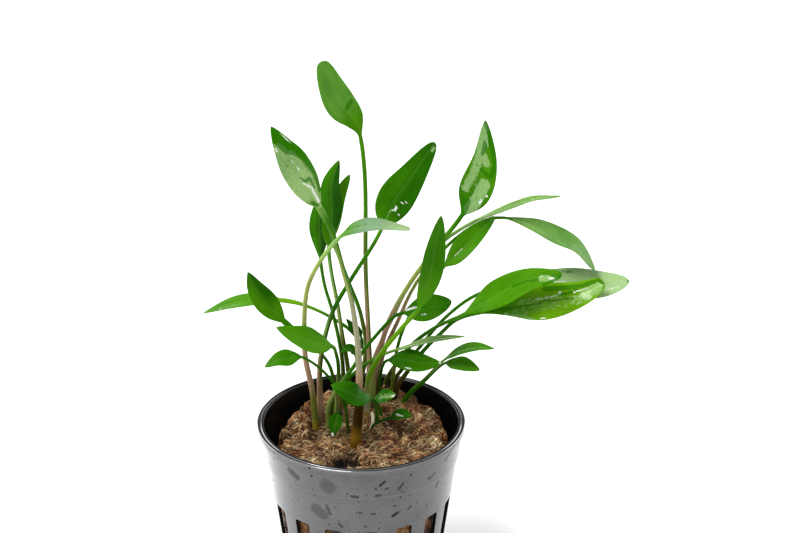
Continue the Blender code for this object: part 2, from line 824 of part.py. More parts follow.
def make_wool(parts):
    finish = material("rockwool", WOOL_BROWN, WOOL_ROUGHNESS)
    wool = object_from(wool_mesh(), "rockwool", parts, finish)
    holes = new_collection("pockets", hidden=True)
    pockets = [leaf_pocket(leaf) for leaf in LEAVES.values()]
    pockets.append(pocket_mesh(*root_rings()))
    for k, pocket in enumerate(pockets):
        as_cutter(object_from(pocket, f"pocket_{k}", holes))
    step = wool.modifiers.new("pockets", "BOOLEAN")
    step.operation = "DIFFERENCE"
    step.solver = "EXACT"
    step.operand_type = "COLLECTION"
    step.collection = holes


def root_rings():
    """The bare root's rings, from where it dives into the rockwool back to the stalk."""
    points = [Vector(p) for p in BARE_ROOT[::-1]]
    half = 0.5 * ROOT_WIDTH
    sections = [(place, half, half, 0.0) for place in route(points, 0, len(points) - 1, ROOT_RINGS)]
    return sections, frames(sections, len(sections) - 1, Vector((1, 0, 0.3)).normalized())


def make_root(parts):
    finish = material("root_white", ROOT_WHITE, ROOT_ROUGHNESS)
    object_from(tube(*root_rings()), "root_white", parts, finish)


def main():
    clear_scene()
    parts = new_collection("potted_cryptocoryne")
    cutters = new_collection("cutters", hidden=True)
    make_pot(parts, cutters)
    make_wool(parts)
    make_leaves(parts)
    make_root(parts)


main()
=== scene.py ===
# %% [markdown]
# # A young cryptocoryne in its net pot
#
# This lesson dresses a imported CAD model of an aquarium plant: thirty slender leaves that stand in a
# plug of brown rockwool, in a black net pot. The CAD model already has every piece in its place, in
# metres, with the pot on Z = 0. Here each piece gets its fine shape and its finish.
#
# The pieces are drawn in millimetres, because all of their sizes are known that way, and each
# finished mesh is brought to metres at the end.

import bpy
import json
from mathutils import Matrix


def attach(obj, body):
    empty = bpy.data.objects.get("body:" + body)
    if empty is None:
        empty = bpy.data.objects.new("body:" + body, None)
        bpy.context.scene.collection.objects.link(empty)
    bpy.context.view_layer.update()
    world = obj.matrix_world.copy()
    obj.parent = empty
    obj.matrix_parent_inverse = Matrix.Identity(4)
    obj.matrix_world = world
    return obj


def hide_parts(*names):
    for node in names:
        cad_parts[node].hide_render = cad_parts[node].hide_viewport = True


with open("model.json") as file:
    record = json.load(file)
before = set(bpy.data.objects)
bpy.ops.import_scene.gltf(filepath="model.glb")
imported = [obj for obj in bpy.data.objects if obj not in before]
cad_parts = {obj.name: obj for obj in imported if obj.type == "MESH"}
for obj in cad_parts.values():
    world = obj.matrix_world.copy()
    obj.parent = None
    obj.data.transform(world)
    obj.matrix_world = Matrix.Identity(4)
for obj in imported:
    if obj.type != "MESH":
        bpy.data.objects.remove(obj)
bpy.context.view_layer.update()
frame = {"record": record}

# %% Blender's modules
import json
import math
import random

import bmesh
import bpy
from mathutils import Matrix, Vector, noise

MM = 0.001
SLOT_OF = {row["node"]: row["material_slot"] for row in frame["record"]["subparts"]}
print(len(SLOT_OF), "CAD nodes to dress")

# %% [markdown]
# ## Small helpers
#
# Colours are written as the hex values that a paint program shows. Blender's shaders work with
# linear light, so one function turns a hex value into linear numbers.


# %% Colours
def linear(code, alpha=1.0):
    """An sRGB hex value as a linear colour."""
    made = []
    for shift in (16, 8, 0):
        value = ((code >> shift) & 255) / 255
        made.append(value / 12.92 if value <= 0.04045 else ((value + 0.055) / 1.055) ** 2.4)
    return (*made, alpha)


# The studio is bright enough to turn the white floor pure white, as in the photograph, so a
# surface must be darker than it shows. Colours read off the photograph go through seen().
STUDIO = 1.5


def seen(code):
    """The colour of a surface that shows as the hex value in this studio."""
    red, green, blue, _ = linear(code)
    return (red / STUDIO, green / STUDIO, blue / STUDIO, 1.0)


print("mid green in linear light:", [round(v, 3) for v in linear(0x3F8A06)])

# %% [markdown]
# A procedural finish is a net of nodes. One helper adds any node: it sets the node's properties,
# fills its inputs, and links an input wherever it is given another node's output.


# %% Shader nodes
def add(tree, kind, inputs=(), **settings):
    """Adds a node. Inputs are (socket name or number, value or output to link)."""
    node = tree.nodes.new(kind)
    for name, value in settings.items():
        setattr(node, name, value)
    for key, value in dict(inputs).items():
        if isinstance(value, bpy.types.NodeSocket):
            tree.links.new(value, node.inputs[key])
        else:
            node.inputs[key].default_value = value
    return node


def new_material(name):
    """A material with an empty Principled shader, and its node tree."""
    made = bpy.data.materials.new(name)
    made.use_nodes = True
    return made, made.node_tree, made.node_tree.nodes["Principled BSDF"]


def colour_ramp(tree, factor, stops, interpolation="LINEAR"):
    """Colours, or greys, along a value from 0 to 1."""
    ramp = add(tree, "ShaderNodeValToRGB", {"Fac": factor})
    ramp.color_ramp.interpolation = interpolation
    while len(ramp.color_ramp.elements) < len(stops):
        ramp.color_ramp.elements.new(0.5)
    for element, (place, colour) in zip(ramp.color_ramp.elements, stops):
        element.position = place
        element.color = colour
    return ramp.outputs["Color"]


def maths(tree, operation, a, b=0.0, clamp=False):
    inputs = {0: a, 1: b}
    return add(tree, "ShaderNodeMath", inputs, operation=operation, use_clamp=clamp).outputs[0]


def blend(tree, factor, a, b, mode="MIX"):
    """Colour b over colour a."""
    inputs = {0: factor, 6: a, 7: b}
    node = add(tree, "ShaderNodeMix", inputs, data_type="RGBA", blend_type=mode)
    return node.outputs[2]


def grey(value):
    return (value, value, value, 1.0)


# %% [markdown]
# Every finished mesh goes through one door. It is scaled to metres with its place kept in the
# mesh, rides on the only body, takes its finish, and hides the CAD part of its node, if it has one.


# %% Finish a piece
def finished(mesh, name, finish, node=None, smooth=True):
    bmesh.ops.scale(mesh, vec=(MM, MM, MM), verts=mesh.verts)
    for face in mesh.faces:
        face.smooth = smooth
    data = bpy.data.meshes.new(name)
    mesh.to_mesh(data)
    mesh.free()
    data.materials.append(finish)
    piece = bpy.data.objects.new(name, data)
    bpy.context.scene.collection.objects.link(piece)
    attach(piece, "root")
    if node:
        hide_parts(node)
    return piece


# %% [markdown]
# ## Camera, floor and light
#
# The photograph looks down at the pot by about 24 degrees. The camera below lays a rim of 55 mm
# at 50 mm height exactly on the photographed rim. The floor is a plain white sheet, bright
# enough to melt into the white backdrop.

# %% The camera
LENS = 100.0
CAMERA_PLACE = (10.2288, -516.658, 328.197)
LOOKS_DOWN = 24.354874

view = bpy.data.objects.new("camera", bpy.data.cameras.new("camera"))
view.data.lens = LENS
view.data.clip_start = 0.01
view.location = Vector(CAMERA_PLACE) * MM
view.rotation_euler = (math.radians(90 - LOOKS_DOWN), 0, 0)
bpy.context.scene.collection.objects.link(view)
bpy.context.scene.camera = view
bpy.context.scene.view_settings.view_transform = "Standard"
print("camera at", CAMERA_PLACE, "mm, looking down", round(LOOKS_DOWN, 1), "degrees")

# %% The floor
FLOOR_SIZE = 8.0

paper, paper_tree, paper_shader = new_material("matt_white_paper")
paper_shader.inputs["Roughness"].default_value = 0.9
paper_shader.inputs["Specular IOR Level"].default_value = 0.1
cloud = add(paper_tree, "ShaderNodeTexNoise", {"Scale": 3.0, "Detail": 1.0})
paper_white = colour_ramp(paper_tree, cloud.outputs["Fac"], ((0.3, grey(0.94)), (0.7, grey(0.97))))
paper_tree.links.new(paper_white, paper_shader.inputs["Base Color"])

sheet = bmesh.new()
bmesh.ops.create_grid(sheet, x_segments=1, y_segments=1, size=FLOOR_SIZE / 2)
sheet_data = bpy.data.meshes.new("floor")
sheet.to_mesh(sheet_data)
sheet.free()
sheet_data.materials.append(paper)
floor = bpy.data.objects.new("floor", sheet_data)
bpy.context.scene.collection.objects.link(floor)

# %% [markdown]
# A white sky fills every shadow softly. A small bright panel overhead lights the front of the rim
# and the glossy wet leaves, whose white glints are also painted, and two tall panels behind, left
# and right, whiten the sides of the pot, where a glossy wall mirrors what stands behind it.

# %% The light
SKY = 0.62
# Each panel: where it hangs in metres, width, height, and its strength in watts
PANELS = {
    "overhead": ((-0.42, -0.3, 0.95), 0.7, 0.3, 11.0),
    "back_left": ((-1.1, 0.9, 0.5), 1.0, 1.2, 14.0),
    "back_right": ((1.1, 0.9, 0.5), 1.0, 1.2, 14.0),
}
AIM = Vector((0, 0, 0.06))

sky = bpy.data.worlds.new("sky")
sky.use_nodes = True
sky.node_tree.nodes["Background"].inputs["Color"].default_value = grey(1.0)
sky.node_tree.nodes["Background"].inputs["Strength"].default_value = SKY
bpy.context.scene.world = sky

for name, (place, wide, high, watts) in PANELS.items():
    panel = bpy.data.objects.new(name, bpy.data.lights.new(name, "AREA"))
    panel.data.shape = "RECTANGLE"
    panel.data.size = wide
    panel.data.size_y = high
    panel.data.energy = watts
    panel.location = place
    panel.rotation_euler = (AIM - Vector(place)).to_track_quat("-Z", "Y").to_euler()
    bpy.context.scene.collection.objects.link(panel)
print(len(PANELS), "panels and a sky of strength", SKY)

# %% [markdown]
# ## The net pot
#
# A net pot is injection-moulded from black polypropylene, about 1 mm thick. It could be a stack
# of cones, but one profile that is spun round the axis keeps the wall a single skin, with the
# rim's lip, groove and inner ring in their real order. The slots are then cut out of it.

# %% Measures of the pot
POT_HEIGHT = 50.0
RIM_RADIUS = 27.5
RIM_WIDTH = 1.9
RIM_DEPTH = 1.3
WALL = 0.9
BAND_TOP_RADIUS = 26.7
STEP_Z = 41.0
STEP_RADIUS = 25.8
STEP_IN = 0.35
FOOT_RADIUS = 19.9
FOOT_EDGE = 0.8
FLOOR = 1.6
POT_STEPS = 192
SLOTS = 16
FLOOR_SLOTS = 8
FIRST_SLOT = 5.6


def wall_radius(z):
    """Outer radius of the wall below the step."""
    top = STEP_RADIUS - STEP_IN
    return FOOT_RADIUS + (top - FOOT_RADIUS) * (z / STEP_Z)


def spun(profile, steps):
    """A closed body of revolution about Z from an outline of (radius, height)."""
    mesh = bmesh.new()
    corners = [mesh.verts.new((r, 0, z)) for r, z in profile]
    edges = [mesh.edges.new(pair) for pair in zip(corners, corners[1:])]
    bmesh.ops.spin(
        mesh,
        geom=corners + edges,
        axis=(0, 0, 1),
        cent=(0, 0, 0),
        angle=2 * math.pi,
        steps=steps,
        use_merge=True,
    )
    bmesh.ops.remove_doubles(mesh, verts=mesh.verts, dist=1e-4)
    bmesh.ops.recalc_face_normals(mesh, faces=mesh.faces)
    return mesh


print("wall radius at half height:", round(wall_radius(25), 2), "mm")

# %% [markdown]
# Moulded edges are never sharp. Each corner of the profile that would catch the light is
# rounded before the spin: arc() replaces a corner by a few points on a small circle.


# %% The rounded profile
def arc(before, corner, after, radius, steps=3):
    """Points that round a corner of the profile."""
    a, b, c = Vector(before), Vector(corner), Vector(after)
    start = b + (a - b).normalized() * radius
    end = b + (c - b).normalized() * radius
    made = []
    for k in range(steps + 1):
        t = k / steps
        made.append(tuple(start * (1 - t) ** 2 + b * (2 * t * (1 - t)) + end * t * t))
    return made


def rounded(outline):
    """The outline with each (radius, height, rounding) corner rounded."""
    made = []
    for k, (r, z, soft) in enumerate(outline):
        if soft:
            made += arc(outline[k - 1][:2], (r, z), outline[k + 1][:2], soft)
        else:
            made.append((r, z))
    return made


rim_middle = RIM_RADIUS - 0.5 * RIM_WIDTH
rim_under = POT_HEIGHT - RIM_DEPTH
rim_inner = RIM_RADIUS - RIM_WIDTH
pot_profile = rounded(
    [
        (0, 0, 0),
        (FOOT_RADIUS - FOOT_EDGE, 0, 0.4),
        (wall_radius(FOOT_EDGE), FOOT_EDGE, 0.3),
        (wall_radius(33), 33, 0),
        (STEP_RADIUS - STEP_IN, STEP_Z - 0.25, 0.08),
        (STEP_RADIUS, STEP_Z - 0.05, 0.2),
        (BAND_TOP_RADIUS - 0.05, rim_under, 0.12),
        (RIM_RADIUS, rim_under + 0.05, 0.25),
        (RIM_RADIUS, POT_HEIGHT, 0.55),
        (rim_middle + 0.3, POT_HEIGHT - 0.02, 0.12),
        (rim_middle, POT_HEIGHT - 0.35, 0.12),
        (rim_middle - 0.3, POT_HEIGHT - 0.1, 0.12),
        (rim_inner, POT_HEIGHT - 0.1, 0.25),
        (STEP_RADIUS - WALL, STEP_Z, 0.3),
        (wall_radius(33) - WALL, 33, 0),
        (wall_radius(FLOOR) - WALL, FLOOR, 0.3),
        (0, FLOOR, 0),
    ]
)
print(len(pot_profile), "points in the pot's profile")

# %% [markdown]
# The slots let roots and water through. A cutter for one slot is a box with rounded upper
# corners. Sixteen of them stand in a ring, and one Boolean cuts them all. The floor gets a
# smaller ring of plain slots.


# %% Slot cutters
def slot_cutter(size, centre, turn, corner):
    """A box with its length along X, its upper corners rounded, moved out and turned about Z."""
    mesh = bmesh.new()
    bmesh.ops.create_cube(mesh, size=1)
    bmesh.ops.scale(mesh, vec=size, verts=mesh.verts)
    upper = [edge for edge in mesh.edges if all(end.co.z > 0 for end in edge.verts)]
    along = [edge for edge in upper if edge.verts[0].co.y == edge.verts[1].co.y]
    bmesh.ops.bevel(
        mesh, geom=along, offset=corner, segments=5, profile=0.5, affect="EDGES", material=-1
    )
    bmesh.ops.translate(mesh, vec=centre, verts=mesh.verts)
    bmesh.ops.rotate(mesh, matrix=Matrix.Rotation(turn, 3, "Z"), verts=mesh.verts)
    return mesh


def ring_of_cutters(count, size, centre, corner):
    """The cutters of one ring, as one object."""
    whole = bmesh.new()
    for k in range(count):
        turn = math.radians(FIRST_SLOT + 360 * k / count - 90)
        cutter = slot_cutter(size, centre, turn, corner)
        data = bpy.data.meshes.new("cutter")
        cutter.to_mesh(data)
        cutter.free()
        whole.from_mesh(data)
        bpy.data.meshes.remove(data)
    data = bpy.data.meshes.new("cutters")
    whole.to_mesh(data)
    whole.free()
    made = bpy.data.objects.new("cutters", data)
    bpy.context.scene.collection.objects.link(made)
    return made


wall_cutters = ring_of_cutters(SLOTS, (10, 4.7, 25.5), (22.5, 0, 17.25), 0.7)
floor_cutters = ring_of_cutters(FLOOR_SLOTS, (8.5, 2.6, 4.8), (11.25, 0, 0.8), 0.3)
print(SLOTS, "wall slots and", FLOOR_SLOTS, "floor slots")


# %% Cut the slots
def cut_out(mesh, cutters):
    """The mesh less the cutters, which are removed."""
    data = bpy.data.meshes.new("body")
    mesh.to_mesh(data)
    mesh.free()
    body = bpy.data.objects.new("body", data)
    bpy.context.scene.collection.objects.link(body)
    for cutter in cutters:
        step = body.modifiers.new("cut", "BOOLEAN")
        step.operation = "DIFFERENCE"
        step.solver = "EXACT"
        step.object = cutter
    cut = body.evaluated_get(bpy.context.evaluated_depsgraph_get())
    made = bmesh.new()
    made.from_mesh(cut.to_mesh())
    cut.to_mesh_clear()
    for thing in (body, *cutters):
        bpy.data.objects.remove(thing)
    return made


pot_mesh = cut_out(spun(pot_profile, POT_STEPS), (wall_cutters, floor_cutters))
print(len(pot_mesh.faces), "faces in the cut pot")

# %% [markdown]
# The outside of the wall is satin, and its grey is a painted reflection of the white studio on the
# black plastic. The rim and the inside are smooth and nearly black. The mesh says which is which
# with a number on each face, `outside`, so that the finish can follow the shape.

# %% Mark the outside
OUTWARD = 0.35

outside = pot_mesh.faces.layers.float.new("outside")
for face in pot_mesh.faces:
    middle = face.calc_center_median()
    radial = Vector((middle.x, middle.y, 0)).normalized()
    faces_out = face.normal.dot(radial) > OUTWARD
    beyond = middle.xy.length > wall_radius(min(middle.z, STEP_Z)) - 0.4
    face[outside] = 1.0 if faces_out and beyond else 0.0
print(sum(1 for face in pot_mesh.faces if face[outside]), "faces look outwards")

# %% [markdown]
# ### Black polypropylene, wet
#
# Moulded polypropylene has a refractive index of 1.49 and a fine satin grain. The grey of the
# outside is painted: a painted reflection of the white studio on the glossy black plastic. A sheen
# whitens the sides, most where the eye meets the wall at a slant. Dark specks and a few larger drop
# marks show where water sits: there the painted grey is left out and the black shows. The specks
# come from Voronoi patterns of which only some cells get a spot. The larger marks are placed one by
# one: each is the distance from a short line on the wall, roughened by noise.

# %% The marks on the wall
# From an angle off the front (degrees, right is more) and a height to another such place, then
# half width and strength
DROP_MARKS = (
    (-19.0, 44.4, -17.5, 43.9, 1.9, 0.38),
    (-43.0, 45.6, -38.0, 44.4, 1.0, 0.6),
    (-27.0, 35.8, -23.0, 34.6, 1.7, 0.45),
    (-20.0, 37.8, -18.0, 35.2, 0.4, 0.6),
    (11.5, 45.0, 14.0, 46.0, 0.4, 0.9),
    (9.0, 44.2, 9.3, 43.8, 0.3, 0.8),
    (14.6, 43.6, 15.6, 43.8, 0.3, 0.9),
    (22.0, 42.8, 25.0, 44.4, 0.3, 0.85),
    (-4.5, 41.8, -1.5, 41.6, 0.5, 0.7),
    (9.0, 41.8, 12.0, 42.0, 0.4, 0.7),
    (56.0, 46.0, 64.0, 48.0, 0.3, 0.8),
    (43.0, 43.0, 47.0, 44.0, 0.5, 0.5),
    (51.0, 39.0, 53.0, 41.0, 0.35, 0.8),
    (20.0, 34.4, 23.0, 35.2, 0.45, 0.95),
    (0.0, 36.4, 1.0, 36.3, 0.35, 0.7),
    (7.0, 35.8, 8.5, 35.9, 0.35, 0.7),
    (20.5, 37.6, 21.0, 37.6, 0.35, 0.7),
    (30.0, 35.5, 31.5, 36.2, 0.3, 0.8),
    (-13.0, 32.6, -11.0, 31.6, 0.35, 0.7),
    (3.0, 32.0, 4.0, 31.8, 0.35, 0.7),
)


def on_wall(angle, z):
    """The point on the outside of the wall, in metres."""
    share = (z - STEP_Z) / (rim_under - STEP_Z)
    band = STEP_RADIUS + (BAND_TOP_RADIUS - STEP_RADIUS) * share
    radius = band if z > STEP_Z else wall_radius(z)
    turn = math.radians(angle - 90)
    return Vector((radius * math.cos(turn), radius * math.sin(turn), z)) * MM


def vectors(tree, operation, a, b, output=0, **inputs):
    node = add(tree, "ShaderNodeVectorMath", {0: a, 1: b, **inputs}, operation=operation)
    return node.outputs[output]


def distance_to_line(tree, place, start, end):
    """Distance of each shaded point from the line between two points."""
    way = end - start
    from_start = vectors(tree, "SUBTRACT", place, start)
    along = vectors(tree, "DOT_PRODUCT", from_start, way / way.length_squared, 1)
    along = maths(tree, "MULTIPLY", along, 1.0, clamp=True)
    nearest = add(tree, "ShaderNodeVectorMath", {0: way, "Scale": along}, operation="SCALE").outputs[0]
    return vectors(tree, "DISTANCE", from_start, nearest, 1)


print(len(DROP_MARKS), "drop marks, the first at", on_wall(*DROP_MARKS[0][:2]))

# %% The pot's finish
BLACK_INSIDE = linear(0x0A0A0B)
# Painted reflection: the grey that the glossy black outside shows in the white studio
GREY_PAINTED_REFLECTION = seen(0x5C5C5E)
GREY_PAINTED_REFLECTION_LIGHT = seen(0x6A6A6D)
MARK_DARK = seen(0x060607)
GRAIN = 0.25 * MM
SMEAR = 9 * MM
# Cell size of the specks in mm, share of the cells that have one, least and greatest radius as a
# share of the cell, and how dark they are
SPECKS = ((1.3, 0.5, 0.04, 0.15, 0.75), (2.9, 0.4, 0.05, 0.13, 0.9), (0.7, 0.3, 0.06, 0.2, 0.4))
LIP_FROM = 49.35

plastic, tree, shader = new_material("black_polypropylene")
place = add(tree, "ShaderNodeTexCoord").outputs["Object"]
skin = add(tree, "ShaderNodeAttribute", attribute_name="outside").outputs["Fac"]
smear = add(tree, "ShaderNodeTexNoise", {"Vector": place, "Scale": 1 / SMEAR, "Detail": 4.0})
# The painted reflection on the outside, in two greys by the smear noise
painted_reflection = colour_ramp(
    tree, smear.outputs["Fac"], ((0.35, GREY_PAINTED_REFLECTION), (0.65, GREY_PAINTED_REFLECTION_LIGHT))
)

# The outside unrolled: the way round and the height, in millimetres
wobble = add(tree, "ShaderNodeTexNoise", {"Vector": place, "Scale": 1 / (0.6 * MM), "Detail": 3.0})
shift = vectors(tree, "SUBTRACT", wobble.outputs["Color"], (0.5,) * 3)
shift = vectors(tree, "MULTIPLY", shift, (0.9 * MM,) * 3)
moved = vectors(tree, "ADD", place, shift)
x, y, z = add(tree, "ShaderNodeSeparateXYZ", {0: moved}).outputs
turn = maths(tree, "ARCTAN2", x, y)
unrolled = add(
    tree,
    "ShaderNodeCombineXYZ",
    {0: maths(tree, "MULTIPLY", turn, STEP_RADIUS), 1: maths(tree, "DIVIDE", z, MM)},
).outputs[0]

marks = 0.0
for cell, share, least, most, strength in SPECKS:
    inputs = {"Vector": unrolled, "Scale": 1 / cell, "Randomness": 1.0}
    specks = add(tree, "ShaderNodeTexVoronoi", inputs, voronoi_dimensions="2D")
    dice = add(tree, "ShaderNodeSeparateColor", {0: specks.outputs["Color"]})
    chosen = maths(tree, "LESS_THAN", dice.outputs[0], share)
    squared = maths(tree, "POWER", dice.outputs[1], 2.5)
    size = add(tree, "ShaderNodeMapRange", {0: squared, 3: least, 4: most}).outputs[0]
    spot = maths(tree, "LESS_THAN", specks.outputs["Distance"], size)
    spot = maths(tree, "MULTIPLY", maths(tree, "MULTIPLY", spot, chosen), strength)
    marks = maths(tree, "MAXIMUM", marks, spot)
for angle, z, end_angle, end_z, wide, strength in DROP_MARKS:
    away = distance_to_line(tree, moved, on_wall(angle, z), on_wall(end_angle, end_z))
    soft = 0.3 if wide > 1 else 0.15
    edges = {0: away, 1: wide * (1 + soft) * MM, 2: wide * (1 - soft) * MM, 3: 0.0, 4: strength}
    mark = add(tree, "ShaderNodeMapRange", edges, interpolation_type="SMOOTHSTEP").outputs[0]
    marks = maths(tree, "MAXIMUM", marks, mark)
# The marks leave the painted grey out; the rim and the inside get the black of the plastic
outer = blend(tree, marks, painted_reflection, MARK_DARK)
tree.links.new(blend(tree, skin, BLACK_INSIDE, outer), shader.inputs["Base Color"])

# The wet lip of the rim is as smooth as glass
height = add(tree, "ShaderNodeSeparateXYZ", {0: place}).outputs[2]
lip = add(tree, "ShaderNodeMapRange", {0: height, 1: (LIP_FROM - 0.1) * MM, 2: (LIP_FROM + 0.1) * MM}).outputs[0]
lip = maths(tree, "MULTIPLY", lip, skin)
tree.links.new(lip, shader.inputs["Coat Weight"])
shader.inputs["Coat Roughness"].default_value = 0.08
dull = colour_ramp(tree, smear.outputs["Fac"], ((0.3, grey(0.34)), (0.7, grey(0.44))))
dull = add(tree, "ShaderNodeMix", {0: skin, 6: grey(0.22), 7: dull}, data_type="RGBA").outputs[2]
tree.links.new(dull, shader.inputs["Roughness"])
shader.inputs["IOR"].default_value = 1.49
clean = maths(tree, "SUBTRACT", 1.0, marks)
shown = maths(tree, "MULTIPLY", skin, clean)
gloss = add(tree, "ShaderNodeMapRange", {0: shown, 3: 0.16, 4: 0.5}).outputs[0]
tree.links.new(gloss, shader.inputs["Specular IOR Level"])
tree.links.new(shown, shader.inputs["Sheen Weight"])
shader.inputs["Sheen Roughness"].default_value = 0.3
grain = add(tree, "ShaderNodeTexNoise", {"Vector": place, "Scale": 1 / GRAIN, "Detail": 2.0})
bump = add(tree, "ShaderNodeBump", {"Strength": 0.12, "Distance": 0.05 * MM, "Height": grain.outputs["Fac"]})
tree.links.new(bump.outputs["Normal"], shader.inputs["Normal"])

pot = finished(pot_mesh, "pot", plastic, "net_pot")
pot.data.set_sharp_from_angle(angle=math.radians(30))
print("pot made")

# %% [markdown]
# ## The rockwool
#
# Rockwool is spun from molten stone and pressed into a plug. Here it is old, wet and stained
# brown, and its top is torn into lumps with dark hollows. The plug is spun like the pot, and its
# top is then lifted by the same smooth noise that shaped the CAD plug, with finer noise over it.
# It stays half a millimetre low, which leaves room for the loose fibres.

# %% The plug's shape
WOOL_GAP = 0.4
WOOL_TOP = 46.0
WOOL_SIDE_TOP = 44.6
WOOL_TOP_RADIUS = 23.2
WOOL_NECK = 38.0
WOOL_STEPS = 260
WOOL_RINGS = 100
FAR_RISE = 3.4
LUMP_SIZE = 8.0
LUMP_HEIGHT = 1.5
SMALL_LUMP = 0.4
FIBRE_ROOM = 0.6
# Hollows and creases torn in the top: middle (x, y), half widths along x and y, depth
HOLLOWS = (
    ((-3.6, -12.4), 4.6, 5.4, 7.5),
    ((-2.2, -5.6), 2.0, 2.2, 2.6),
    ((3.0, -5.6), 1.8, 2.4, 3.4),
    ((12.0, -3.9), 3.4, 2.4, 4.2),
    ((-12.9, 7.4), 2.0, 2.6, 5.0),
    ((-18.5, 6.4), 3.6, 0.8, 1.6),
    ((10.4, 4.0), 1.0, 4.0, 2.2),
    ((17.5, 15.0), 3.2, 1.8, 3.0),
    ((8.6, -15.0), 0.8, 2.6, 1.2),
    ((-15.5, -7.5), 2.6, 0.7, 1.3),
)


def smooth(value, low, high):
    """0 below low, 1 above high, and a smooth step between."""
    t = min(1.0, max(0.0, (value - low) / (high - low)))
    return t * t * (3 - 2 * t)


def hollow_at(x, y):
    """How deep the hollows are at a place, in millimetres."""
    deepest = 0.0
    ragged = 1 + 0.3 * noise.noise(Vector((x, y, 20)) / 1.6)
    for (hx, hy), half_x, half_y, depth in HOLLOWS:
        away = math.hypot((x - hx) / half_x, (y - hy) / half_y) * ragged
        deepest = max(deepest, depth * (1 - smooth(away, 0.35, 1.25)))
    return deepest


def tear(x, y):
    """Lumps of matted fibre, in millimetres."""
    lumps = noise.turbulence(Vector((x, y, 7)) / 3.6, 3, False) - 0.5
    combed = noise.noise(Vector((x / 2.6, y / 0.8, 90)))
    return 1.9 * lumps + 0.55 * combed


def wool_height(x, y):
    """The top of the torn plug at a place."""
    lump = noise.noise(Vector((x, y, 0)) / LUMP_SIZE) * LUMP_HEIGHT
    lump += noise.noise(Vector((x, y, 40)) / (SMALL_LUMP * LUMP_SIZE)) * SMALL_LUMP * LUMP_HEIGHT
    rise = FAR_RISE * (1 + 0.25 * x / WOOL_TOP_RADIUS)
    lump += rise * smooth(y, 2.0, 20.0) + tear(x, y) - hollow_at(x, y) - FIBRE_ROOM
    inward = smooth(WOOL_TOP_RADIUS - math.hypot(x, y), 0.0, 2.4)
    return WOOL_SIDE_TOP + (WOOL_TOP - WOOL_SIDE_TOP) * inward + (0.5 + 0.5 * inward) * lump


def ragged_edge(x, y, z):
    """How far the plug's side is drawn in at a place, as a factor."""
    torn = noise.noise(Vector((x, y, 0.4 * z)) / 4.0)
    pull = 0.045 - 0.03 * x / WOOL_TOP_RADIUS
    return 1 - pull * (0.5 + torn) * smooth(z, WOOL_NECK - 4, WOOL_SIDE_TOP)


low = FLOOR + WOOL_GAP
wool_profile = [(0, low), (wall_radius(low) - WALL - 1.6, low), (wall_radius(4) - WALL - WOOL_GAP, 4)]
for k in range(1, 40):
    z = 4 + (WOOL_NECK - 4) * k / 40
    wool_profile.append((wall_radius(z) - WALL - WOOL_GAP, z))
wool_profile += [(WOOL_TOP_RADIUS + 0.5, WOOL_NECK), (WOOL_TOP_RADIUS + 0.2, 42), (WOOL_TOP_RADIUS, WOOL_SIDE_TOP)]
for k in range(1, WOOL_RINGS):
    wool_profile.append((WOOL_TOP_RADIUS * (1 - (k / WOOL_RINGS) ** 1.1), WOOL_TOP))
wool_profile.append((0, WOOL_TOP))
wool_mesh = spun(wool_profile, WOOL_STEPS)
on_top = wool_mesh.verts.layers.int.new("on_top")
for corner in wool_mesh.verts:
    x, y, z = corner.co
    if z >= WOOL_SIDE_TOP:
        corner.co.z = wool_height(x, y)
        corner[on_top] = 1
    elif z > low + 1:
        pinch = 1 - 0.05 * abs(noise.noise(corner.co / 5.0)) - 0.02 * noise.turbulence(corner.co / 1.6, 3, True)
        corner.co.x *= pinch
        corner.co.y *= pinch
    pull = ragged_edge(x, y, z)
    corner.co.x *= pull
    corner.co.y *= pull
print(len(wool_mesh.faces), "faces in the plug")

# %% [markdown]
# ### Stained rockwool
#
# The fibres are glassy and pale, but peat and algae stain them from gold to dark brown, and a
# pinkish dust shows here and there. The pits between the tufts are painted nearly black, as painted
# shade. The finish mixes these by cloudy noise and by a tone that the mesh gives each strand, which
# on the plug is painted light on the lumps and painted shade in the low places. It also paints shade
# on what lies deep. Matted fibres shade each other, so each is much paler than the mat.

# %% The rockwool's finish
WOOL_DARK = linear(0x4A2A10)
WOOL_MID = linear(0xB07C48)
WOOL_TAN = linear(0xEAC68A)
WOOL_PALE = linear(0xFCF0CC)
WOOL_ROSE = linear(0xE8B4A4)
PAINTED_SHADE_BLACK = linear(0x050302)


